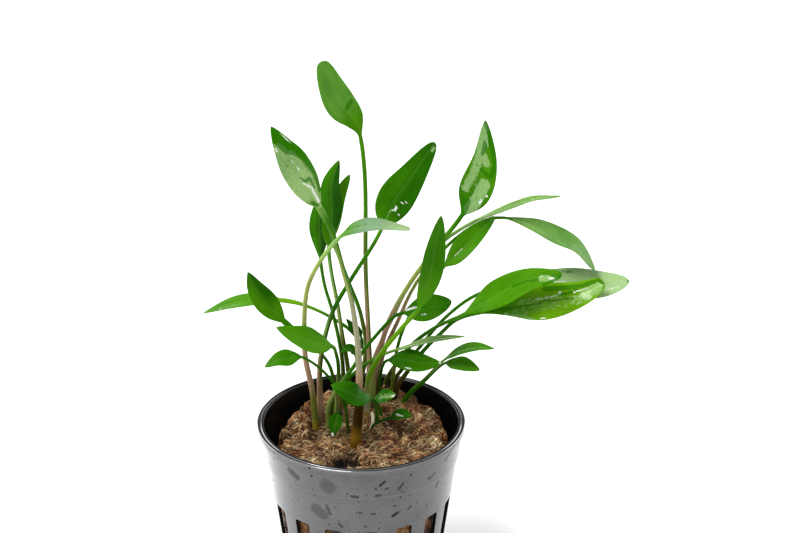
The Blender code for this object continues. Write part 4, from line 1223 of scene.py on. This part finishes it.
# Painted dark reflection: where thick water mirrors the dark, the blade is painted darker
PAINTED_DARK_REFLECTION_STROKES = {
    "leaf_tall": ((0.2, 0.4, 0.6, 0.43, 0.8, 0.8), (-0.2, 0.39, 0.1, 0.4, 0.5, 0.5)),
    "leaf_wet_left": (
        (-0.1, 0.97, 0.0, 0.8, 1.2, 1.0), (0.0, 0.8, 0.3, 0.65, 1.5, 1.0),
        (0.35, 0.65, 0.7, 0.5, 1.0, 1.0), (0.75, 0.5, 0.92, 0.3, 0.6, 0.9),
        (0.9, 0.3, 0.85, 0.15, 0.5, 0.9), (-0.55, 0.47, -0.35, 0.5, 0.2, 0.9),
        (-0.05, 0.33, 0.1, 0.28, 0.2, 1.0), (0.1, 0.28, 0.4, 0.3, 0.3, 1.0),
        (0.45, 0.28, 0.45, 0.2, 0.3, 1.0), (-0.5, 0.1, -0.2, 0.04, 0.5, 1.0),
    ),
    "leaf_wet_right": (
        (0.3, 0.97, 0.75, 0.8, 0.6, 1.0), (0.75, 0.8, 0.88, 0.65, 0.8, 1.0),
        (0.8, 0.62, 0.7, 0.55, 0.7, 1.0), (-0.25, 0.72, -0.05, 0.82, 0.5, 1.0),
        (-0.1, 0.57, 0.6, 0.53, 0.5, 1.0), (-0.42, 0.6, -0.38, 0.6, 0.2, 1.0),
        (-0.02, 0.46, -0.1, 0.3, 0.2, 0.9), (-0.7, 0.2, -0.4, 0.1, 1.0, 0.9),
        (-0.2, 0.22, -0.2, 0.05, 0.9, 0.9),
    ),
    "leaf_big_wet": (
        (-0.75, 0.5, -0.6, 0.75, 0.7, 0.9), (-0.6, 0.75, -0.6, 0.93, 0.5, 1.1),
        (-0.7, 0.96, 0.0, 0.99, 0.4, 1.1), (-0.3, 0.6, -0.2, 0.75, 0.4, 0.8),
        (0.0, 0.12, 0.0, 0.45, 0.3, 0.8), (-0.1, 0.45, 0.1, 0.7, 0.3, 0.7),
    ),
    "leaf_big_front": (
        (0.0, 0.6, 0.2, 0.82, 0.5, 0.7), (-0.5, 0.985, 0.5, 0.985, 0.5, 1.2),
        (0.9, 0.85, 0.7, 0.97, 0.4, 1.1), (0.0, 0.93, 0.2, 0.97, 0.5, 0.9),
    ),
    "leaf_big_back": ((-0.9, 0.38, -0.7, 0.52, 0.5, 0.6), (0.0, 0.99, 0.0, 1.0, 0.4, 1.0)),
    "leaf_wet_dark": ((0.0, 0.2, 0.0, 0.8, 1.8, 0.55),),
    "leaf_arch": ((-0.4, 0.1, -0.3, 0.5, 0.9, 0.5),),
    "leaf_low_left": ((0.3, 0.1, 0.3, 0.3, 0.8, 0.6),),
}
# Painted glints: small painted highlights on the edges of drops
PAINTED_GLINT_STROKES = {
    "leaf_wet_left": (
        (-0.8, 0.76, -0.7, 0.72, 0.25, 1.0), (0.0, 0.5, 0.12, 0.38, 0.12, 0.7),
        (-0.08, 0.29, 0.25, 0.22, 0.25, 1.0), (0.25, 0.2, 0.4, 0.06, 0.4, 0.8),
        (0.7, 0.88, 0.8, 0.72, 0.1, 0.8),
    ),
    "leaf_wet_right": ((0.75, 0.37, 0.6, 0.27, 0.2, 0.9), (0.15, 0.83, 0.2, 0.78, 0.15, 0.7)),
    "leaf_big_front": ((0.25, 0.9, 0.45, 0.93, 0.4, 0.7),),
    "leaf_big_wet": (
        (-0.3, 0.4, -0.2, 0.6, 0.3, 0.5), (0.9, 0.45, 0.8, 0.6, 0.15, 0.8),
        (-0.25, 0.72, -0.2, 0.85, 0.25, 0.6), (-0.4, 0.6, -0.35, 0.72, 0.2, 0.6),
    ),
    "leaf_big_back": ((-0.1, 0.4, 0.0, 0.62, 0.3, 0.6), (0.5, 0.78, 0.5, 0.9, 0.4, 0.5)),
    "leaf_wet_dark": ((-0.5, 0.1, -0.3, 0.3, 0.35, 0.8), (0.3, 0.25, 0.4, 0.45, 0.3, 0.6)),
    "leaf_edge_right": ((0.6, 0.1, 0.6, 0.8, 0.15, 0.6),),
    "leaf_thin_arch": ((0.5, 0.2, 0.3, 0.8, 0.15, 0.7),),
    "leaf_under_right": ((0.0, 0.25, 0.0, 0.42, 0.06, 0.75), (0.05, 0.55, 0.05, 0.6, 0.1, 0.7)),
    "leaf_centre_right": (
        (0.18, 0.2, 0.26, 0.25, 0.35, 0.95), (0.35, 0.3, 0.6, 0.36, 0.14, 0.9),
        (0.5, 0.22, 0.5, 0.23, 0.15, 0.9), (0.62, 0.19, 0.64, 0.18, 0.15, 0.9),
    ),
    "leaf_soil_right": ((-0.2, 0.3, 0.2, 0.5, 0.3, 0.9), (0.2, 0.35, 0.4, 0.6, 0.2, 0.8)),
    "leaf_tiny_front": ((0.2, 0.9, 0.3, 0.95, 0.3, 1.0),),
    "leaf_low_right": ((0.3, 0.86, 0.3, 0.95, 0.25, 0.9), (-0.5, 0.5, -0.5, 0.6, 0.1, 0.7)),
    "leaf_dark_front": ((0.75, 0.42, 0.75, 0.5, 0.3, 0.8), (0.0, 0.97, 0.0, 0.99, 0.3, 0.8)),
}


def strokes_on(table, name, places):
    """A leaf's strokes in millimetres: both ends, half width and strength."""
    made = []
    for u, v, end_u, end_v, wide, strength in table.get(name, ()):
        ends = []
        for across, along in ((u, v), (end_u, end_v)):
            run, half = next((run, half) for run, half, t in places if t >= along)
            ends.append(Vector((across * half, run)))
        made.append((*ends, wide, strength))
    return made


def wetness(strokes, spot):
    """The strongest of the strokes at a spot on the blade."""
    most = 0.0
    for start, end, wide, strength in strokes:
        way = end - start
        share = max(0.0, min(1.0, (spot - start).dot(way) / max(way.length_squared, 1e-6)))
        away = (spot - start - share * way).length / wide
        most = max(most, strength * (1 - smooth(away, 0.45, 1.5)))
    return most


print(sum(len(rows) for table in (PAINTED_REFLECTION_STROKES, PAINTED_DARK_REFLECTION_STROKES, PAINTED_GLINT_STROKES) for rows in table.values()), "wet strokes")

# %% [markdown]
# ### Shape of a leaf
#
# A smooth curve runs through the guide points. At every ring the section has a centre, a half
# width and a half thickness. The side edges of the blade lift a little, which folds it along the
# midrib.

# %% Sections along a leaf
BLADE_THICK = 0.44
TIP_WIDTH = 0.3
WIDEST = 0.45
BASE_TAPER = 1.2
TIP_SHARPNESS = 0.75
TIP_CROWDING = 1.3
TIP_THINNING = 0.4
FOLD = 0.12
# A stalk thins from its foot upwards. Some feet thin faster than the others.
FOOT_POWER = 2.0
FAST_FEET = {"leaf_wet_left": 5.0, "leaf_right_upper": 6.0, "leaf_right_lower": 6.0}
# Some blades run down their stalk as narrow wings: extra half width where the blade starts
WINGS = {"leaf_far_left": 0.6, "leaf_left_pointed": 0.45, "leaf_left_bright": 0.2, "leaf_wet_left": 0.3}
WING_FROM = 0.65
STALK_RINGS = 28
BLADE_RINGS = 72
SIDES = 32


def span(points, i, t):
    """A Catmull-Rom span from point i to the next."""
    before = points[i - 1] if i else 2 * points[0] - points[1]
    after = points[i + 2] if i + 2 < len(points) else 2 * points[-1] - points[-2]
    start, end = points[i], points[i + 1]
    return 0.5 * (
        2 * start
        + (end - before) * t
        + (2 * before - 5 * start + 4 * end - after) * t * t
        + (3 * start - before - 3 * end + after) * t * t * t
    )


def on_route(points, along):
    i = min(int(along), len(points) - 2)
    return span(points, i, along - i)


def blade_half_width(t, leaf):
    """A lance shape, drawn out into the stalk at its base."""
    if not 0 < t < 1:
        return 0.0
    bend = math.log(0.5) / math.log(leaf.get("widest", WIDEST))
    base = leaf.get("base", BASE_TAPER)
    sharpness = base + (leaf.get("tip", TIP_SHARPNESS) - base) * t
    return 0.5 * leaf["width"] * math.sin(math.pi * t**bend) ** sharpness


def leaf_sections(name, leaf):
    """Of every ring: centre, half width, half thickness, lift of the edges, part and share of it."""
    points = [Vector(p) for p in leaf["stalk"] + leaf["blade"]]
    joint = len(leaf["stalk"])
    root, top = (0.5 * w for w in leaf["stalk_width"])
    power = FAST_FEET.get(name, FOOT_POWER)
    wing = WINGS.get(name, 0.0)
    sections = []
    for k in range(STALK_RINGS + 1):
        t = k / STALK_RINGS
        radius = top + (root - top) * (1 - t) ** power
        half = radius + wing * smooth(t, WING_FROM, 1.0)
        sections.append((on_route(points, joint * t), half, radius, 0.0, 0, t))
    blade_span = len(points) - 1 - joint
    for k in range(1, BLADE_RINGS + 1):
        t = 1 - (1 - k / BLADE_RINGS) ** TIP_CROWDING
        half = max(blade_half_width(t, leaf), (top + wing) * (1 - t), 0.5 * TIP_WIDTH * (1.2 - t))
        thick = 0.5 * BLADE_THICK + (top - 0.5 * BLADE_THICK) * (1 - t) ** 3
        lift = FOLD * half * math.sin(math.pi * t)
        place = on_route(points, joint + blade_span * t)
        sections.append((place, half, thick * (1 - TIP_THINNING * t), lift, 1, t))
    return sections


def frames(sections, blade_from, faces):
    """Side and face directions of each ring: set on the blade, and carried down the stalk."""
    places = [s[0] for s in sections]
    last = len(places) - 1
    along = [(places[min(i + 1, last)] - places[max(i - 1, 0)]).normalized() for i in range(last + 1)]
    found = [None] * (last + 1)
    for i in range(last, -1, -1):
        guide = faces if i >= blade_from else found[i + 1]
        found[i] = (guide - guide.dot(along[i]) * along[i]).normalized()
    return [(found[i].cross(along[i]), found[i]) for i in range(last + 1)]


print(STALK_RINGS + BLADE_RINGS + 1, "rings on each leaf")

# %% [markdown]
# A tube is drawn once along Z, a ring at a time. Every leaf starts from a copy of it, and each
# ring is carried to its place. Towards the midrib the corners of a ring stand closer together,
# so that the furrow on the upper face and the rib below it come out crisp.


# %% A tube of rings
def tube(rings, sides):
    """A closed tube along Z with its rings one unit apart."""
    mesh = bmesh.new()
    drawn = bmesh.ops.create_circle(mesh, cap_ends=True, radius=1, segments=sides)
    edges = list({edge for corner in drawn["verts"] for edge in corner.link_edges})
    for _ in range(rings - 1):
        grown = bmesh.ops.extrude_edge_only(mesh, edges=edges)
        corners = [part for part in grown["geom"] if isinstance(part, bmesh.types.BMVert)]
        edges = [part for part in grown["geom"] if isinstance(part, bmesh.types.BMEdge)]
        edges = [edge for edge in edges if all(end in corners for end in edge.verts)]
        bmesh.ops.translate(mesh, vec=(0, 0, 1), verts=corners)
    bmesh.ops.holes_fill(mesh, edges=edges, sides=sides)
    bmesh.ops.recalc_face_normals(mesh, faces=mesh.faces)
    data = bpy.data.meshes.new("tube")
    mesh.to_mesh(data)
    mesh.free()
    return data


leaf_tube = tube(STALK_RINGS + BLADE_RINGS + 1, SIDES)
print(len(leaf_tube.vertices), "corners on each leaf")

# %% Build a leaf
CROWDING = 1.45
FURROW = 0.2
RIB = 0.32
FURROW_HALF = 0.4
RIPPLE = 0.5
RIPPLE_SIZE = (7.0, 9.0)


def leaf_mesh(name, leaf, seed):
    sections = leaf_sections(name, leaf)
    sides = frames(sections, STALK_RINGS + 1, Vector(leaf["faces"]).normalized())
    run = [0.0]
    for a, b in zip(sections, sections[1:]):
        run.append(run[-1] + (b[0] - a[0]).length)
    places = [(run[k], section[1], section[5]) for k, section in enumerate(sections) if section[4]]
    strokes = [strokes_on(table, name, places) for table in (PAINTED_REFLECTION_STROKES, PAINTED_DARK_REFLECTION_STROKES, PAINTED_GLINT_STROKES)]
    mesh = bmesh.new()
    mesh.from_mesh(leaf_tube)
    tint = mesh.verts.layers.float_color.new("tint")
    lay = mesh.verts.layers.float_vector.new("lay")
    across_layer = mesh.verts.layers.float.new("across")
    blade_layer = mesh.verts.layers.float.new("blade")
    wet_layers = [mesh.verts.layers.float.new(word) for word in ("painted_reflection", "painted_dark_reflection", "painted_glint")]
    stalk, blade = (colour_stops(words) for words in COLOURS[name])
    blade = [(where, *pair) for where, (_, *pair) in zip(BLADE_STOPS, blade)]
    for corner in mesh.verts:
        x, y, level = corner.co
        ring = round(level)
        place, half, thick, lift, part, t = sections[ring]
        side, face = sides[ring]
        flat = smooth(t, 0.0, 0.3) * part
        x = math.copysign(abs(x) ** (1 + (CROWDING - 1) * flat), x)
        wide = x * half
        rib = math.exp(-((wide / FURROW_HALF) ** 2)) * flat * (1 - 0.7 * t)
        up = y * thick + x * x * lift - rib * (FURROW if y > 0 else RIB)
        spot = Vector((wide / RIPPLE_SIZE[0], run[ring] / RIPPLE_SIZE[1], seed))
        up += RIPPLE * noise.noise(spot) * abs(x) * flat * math.sin(math.pi * min(1.0, t))
        corner.co = place + side * wide + face * up
        corner[tint] = tint_at(stalk, blade, part, t, -x * (flat if part else 1.0))
        corner[lay] = (-wide, run[ring], seed * 10.0)
        corner[across_layer] = -x
        corner[blade_layer] = flat
        if part and y > -0.4:
            for layer, rows in zip(wet_layers, strokes):
                corner[layer] = smooth(y, -0.4, 0.1) * wetness(rows, Vector((-wide, run[ring])))
    return mesh


print("a leaf's blade is", BLADE_THICK, "mm thick")

# %% [markdown]
# ### The skin of a leaf
#
# A leaf's waxy skin has a refractive index near 1.45 and is smooth enough for a soft sheen.
# Under it the veins run from the base to the tip in arcs, and the flesh between them is faintly
# mottled. Water on the skin is smoother than the skin itself: its film has nearly no roughness.


# %% The leaf finish
# Colours of the painted reflection, the painted dark reflection and the painted glints on wet blades
PAINTED_REFLECTION_COLOUR = seen(0xB6DE90)
PAINTED_DARK_REFLECTION_COLOUR = seen(0x2A7C02)
PAINTED_GLINT_COLOUR = seen(0xFAFFF6)
RIB_COLOUR = seen(0x8DB45C)
VEIN_COLOUR = seen(0x164A02)


def leaf_finish(name, gloss, mottle):
    """gloss is the roughness of the dry skin; mottle how strongly the flesh varies."""
    made, tree, shader = new_material(name)

    def value(word):
        return add(tree, "ShaderNodeAttribute", attribute_name=word).outputs["Fac"]

    lay = add(tree, "ShaderNodeAttribute", attribute_name="lay").outputs["Vector"]
    base = add(tree, "ShaderNodeAttribute", attribute_name="tint").outputs["Color"]
    across = value("across")
    blade = value("blade")

    # Flesh: blotches of a few millimetres, drawn out along the leaf, and fine cells in them
    drawn_out = add(tree, "ShaderNodeVectorMath", {0: lay, 1: (1.0, 0.35, 1.0)}, operation="MULTIPLY")
    blotch = add(tree, "ShaderNodeTexNoise", {"Vector": drawn_out.outputs[0], "Scale": 0.55, "Detail": 4.0})
    shade = colour_ramp(tree, blotch.outputs["Fac"], ((0.3, grey(1 - mottle)), (0.7, grey(1 + mottle))))
    base = blend(tree, 1.0, base, shade, "MULTIPLY")
    cells = add(tree, "ShaderNodeTexNoise", {"Vector": lay, "Scale": 3.4, "Detail": 3.0})
    cell_shade = colour_ramp(tree, cells.outputs["Fac"], ((0.35, grey(0.86)), (0.65, grey(1.14))))
    base = blend(tree, 1.0, base, cell_shade, "MULTIPLY")

    # Veins: arcs that run along the blade, and the lighter midrib
    wander = add(tree, "ShaderNodeTexNoise", {"Vector": drawn_out.outputs[0], "Scale": 0.3, "Detail": 1.0})
    bent = maths(tree, "ADD", across, maths(tree, "MULTIPLY", wander.outputs["Fac"], 0.08))
    wave = maths(tree, "SINE", maths(tree, "MULTIPLY", bent, 26.0))
    vein = maths(tree, "POWER", maths(tree, "ABSOLUTE", wave), 6.0)
    vein = maths(tree, "MULTIPLY", vein, blade)
    base = blend(tree, maths(tree, "MULTIPLY", vein, 0.08), base, VEIN_COLOUR)
    narrow = maths(tree, "ABSOLUTE", add(tree, "ShaderNodeSeparateXYZ", {0: lay}).outputs[0])
    rib = add(tree, "ShaderNodeMapRange", {0: narrow, 1: 0.32, 2: 0.08, 3: 0.0, 4: 1.0}).outputs[0]
    rib = maths(tree, "MULTIPLY", rib, blade)
    base = blend(tree, maths(tree, "MULTIPLY", rib, 0.1), base, RIB_COLOUR)

    # Water: each kind of stroke is broken up by its own noise, then painted into the colour as painted reflection,
    # painted dark reflection and painted glints
    ragged = add(tree, "ShaderNodeTexNoise", {"Vector": lay, "Scale": 1.1, "Detail": 6.0, "Roughness": 0.65})
    fine = add(tree, "ShaderNodeTexNoise", {"Vector": lay, "Scale": 3.0, "Detail": 4.0, "Roughness": 0.6})
    along = add(tree, "ShaderNodeVectorMath", {0: lay, 1: (1.0, 0.18, 1.0)}, operation="MULTIPLY").outputs[0]
    grainy = add(tree, "ShaderNodeTexNoise", {"Vector": along, "Scale": 3.4, "Detail": 5.0, "Roughness": 0.7})

    def broken(word, pattern, amount, low=0.44, high=0.56):
        """1 where the stroke's strength, moved up and down by the pattern, is over a half."""
        moved = maths(tree, "MULTIPLY", maths(tree, "SUBTRACT", pattern.outputs["Fac"], 0.5), amount)
        reach = maths(tree, "ADD", value(word), moved)
        return add(tree, "ShaderNodeMapRange", {0: reach, 1: low, 2: high, 3: 0.0, 4: 1.0}).outputs[0]

    painted_reflection = broken("painted_reflection", ragged, 1.3, 0.35, 0.65)
    painted_dark_reflection = broken("painted_dark_reflection", ragged, 1.1)
    painted_glint = broken("painted_glint", fine, 1.8)
    # Painted reflection of the white studio, in streaks along the leaf, then painted dark reflection and painted glints
    streaks = colour_ramp(tree, grainy.outputs["Fac"], ((0.35, grey(0.28)), (0.65, grey(0.78))))
    base = blend(tree, maths(tree, "MULTIPLY", painted_reflection, streaks), base, PAINTED_REFLECTION_COLOUR)
    base = blend(tree, maths(tree, "MULTIPLY", painted_dark_reflection, 0.8), base, PAINTED_DARK_REFLECTION_COLOUR)
    base = blend(tree, painted_glint, base, PAINTED_GLINT_COLOUR)
    tree.links.new(base, shader.inputs["Base Color"])

    shine = maths(tree, "MAXIMUM", painted_reflection, painted_glint)
    skin = add(tree, "ShaderNodeMapRange", {0: shine, 1: 0.0, 2: 1.0, 3: gloss, 4: 0.16}).outputs[0]
    tree.links.new(skin, shader.inputs["Roughness"])
    shader.inputs["IOR"].default_value = 1.45
    shader.inputs["Specular IOR Level"].default_value = 0.08
    shader.inputs["Specular Tint"].default_value = (0.6, 1.0, 0.1, 1.0)
    tree.links.new(maths(tree, "MULTIPLY", shine, 0.3), shader.inputs["Coat Weight"])
    shader.inputs["Coat Roughness"].default_value = 0.08
    shader.inputs["Subsurface Weight"].default_value = 0.1
    shader.inputs["Subsurface Radius"].default_value = (0.4, 1.0, 0.1)
    shader.inputs["Subsurface Scale"].default_value = 0.4 * MM

    wet = maths(tree, "MAXIMUM", shine, painted_dark_reflection)
    height = maths(tree, "ADD", maths(tree, "MULTIPLY", vein, -0.5), maths(tree, "MULTIPLY", wet, 0.8))
    height = maths(tree, "ADD", height, maths(tree, "MULTIPLY", blotch.outputs["Fac"], 0.6))
    bump = add(tree, "ShaderNodeBump", {"Strength": 0.35, "Distance": 0.12 * MM, "Height": height})
    tree.links.new(bump.outputs["Normal"], shader.inputs["Normal"])
    return made


SKINS = {
    "leaf_green": leaf_finish("cryptocoryne_leaf_skin", 0.34, 0.14),
    "leaf_young_green": leaf_finish("young_leaf_skin", 0.38, 0.1),
    "leaf_dark_green": leaf_finish("old_leaf_skin", 0.3, 0.18),
}

# %% Grow the leaves
for seed, (name, leaf) in enumerate(LEAVES.items()):
    finished(leaf_mesh(name, leaf, seed), name, SKINS[SLOT_OF[name]], name)
print("all", len(LEAVES), "leaves grown")

# %% [markdown]
# ## The bare root
#
# One cream root leaves the front stalk's foot, arches over and dives into the wool. A young root
# has no bark: its skin is moist and lets light in a little, so it looks soft.

# %% The root
BARE_ROOT = ((2.7, 7.2, 48.2), (3, 6, 48), (3, 4.4, 47), (2.3, 3.2, 44.5))
ROOT_WIDTH = 0.9
ROOT_RINGS = 40

root_skin, tree, shader = new_material("young_root_skin")
place = add(tree, "ShaderNodeTexCoord").outputs["Object"]
stain = add(tree, "ShaderNodeTexNoise", {"Vector": place, "Scale": 1 / (1.1 * MM), "Detail": 3.0})
cream = colour_ramp(tree, stain.outputs["Fac"], ((0.35, seen(0xD2C08A)), (0.6, seen(0xFBF6D4))))
tree.links.new(cream, shader.inputs["Base Color"])
shader.inputs["Roughness"].default_value = 0.35
shader.inputs["Subsurface Weight"].default_value = 0.3
shader.inputs["Subsurface Radius"].default_value = (1.0, 0.8, 0.5)
shader.inputs["Subsurface Scale"].default_value = 0.5 * MM

points = [Vector(p) for p in BARE_ROOT[::-1]]
root_sections = []
for k in range(ROOT_RINGS + 1):
    t = k / ROOT_RINGS
    half = 0.5 * ROOT_WIDTH * (1 + 0.12 * noise.noise(Vector((0, 0, 6 * t))))
    root_sections.append((on_route(points, (len(points) - 1) * t), half, half))
root_sides = frames(root_sections, ROOT_RINGS, Vector((1, 0, 0.3)).normalized())
root_mesh = bmesh.new()
root_mesh.from_mesh(tube(ROOT_RINGS + 1, 16))
for corner in root_mesh.verts:
    x, y, level = corner.co
    centre, half, thick = root_sections[round(level)]
    side, face = root_sides[round(level)]
    corner.co = centre + side * (x * half) + face * (y * thick)
finished(root_mesh, "root", root_skin, "root_white")
print("root made,", ROOT_WIDTH, "mm thick")
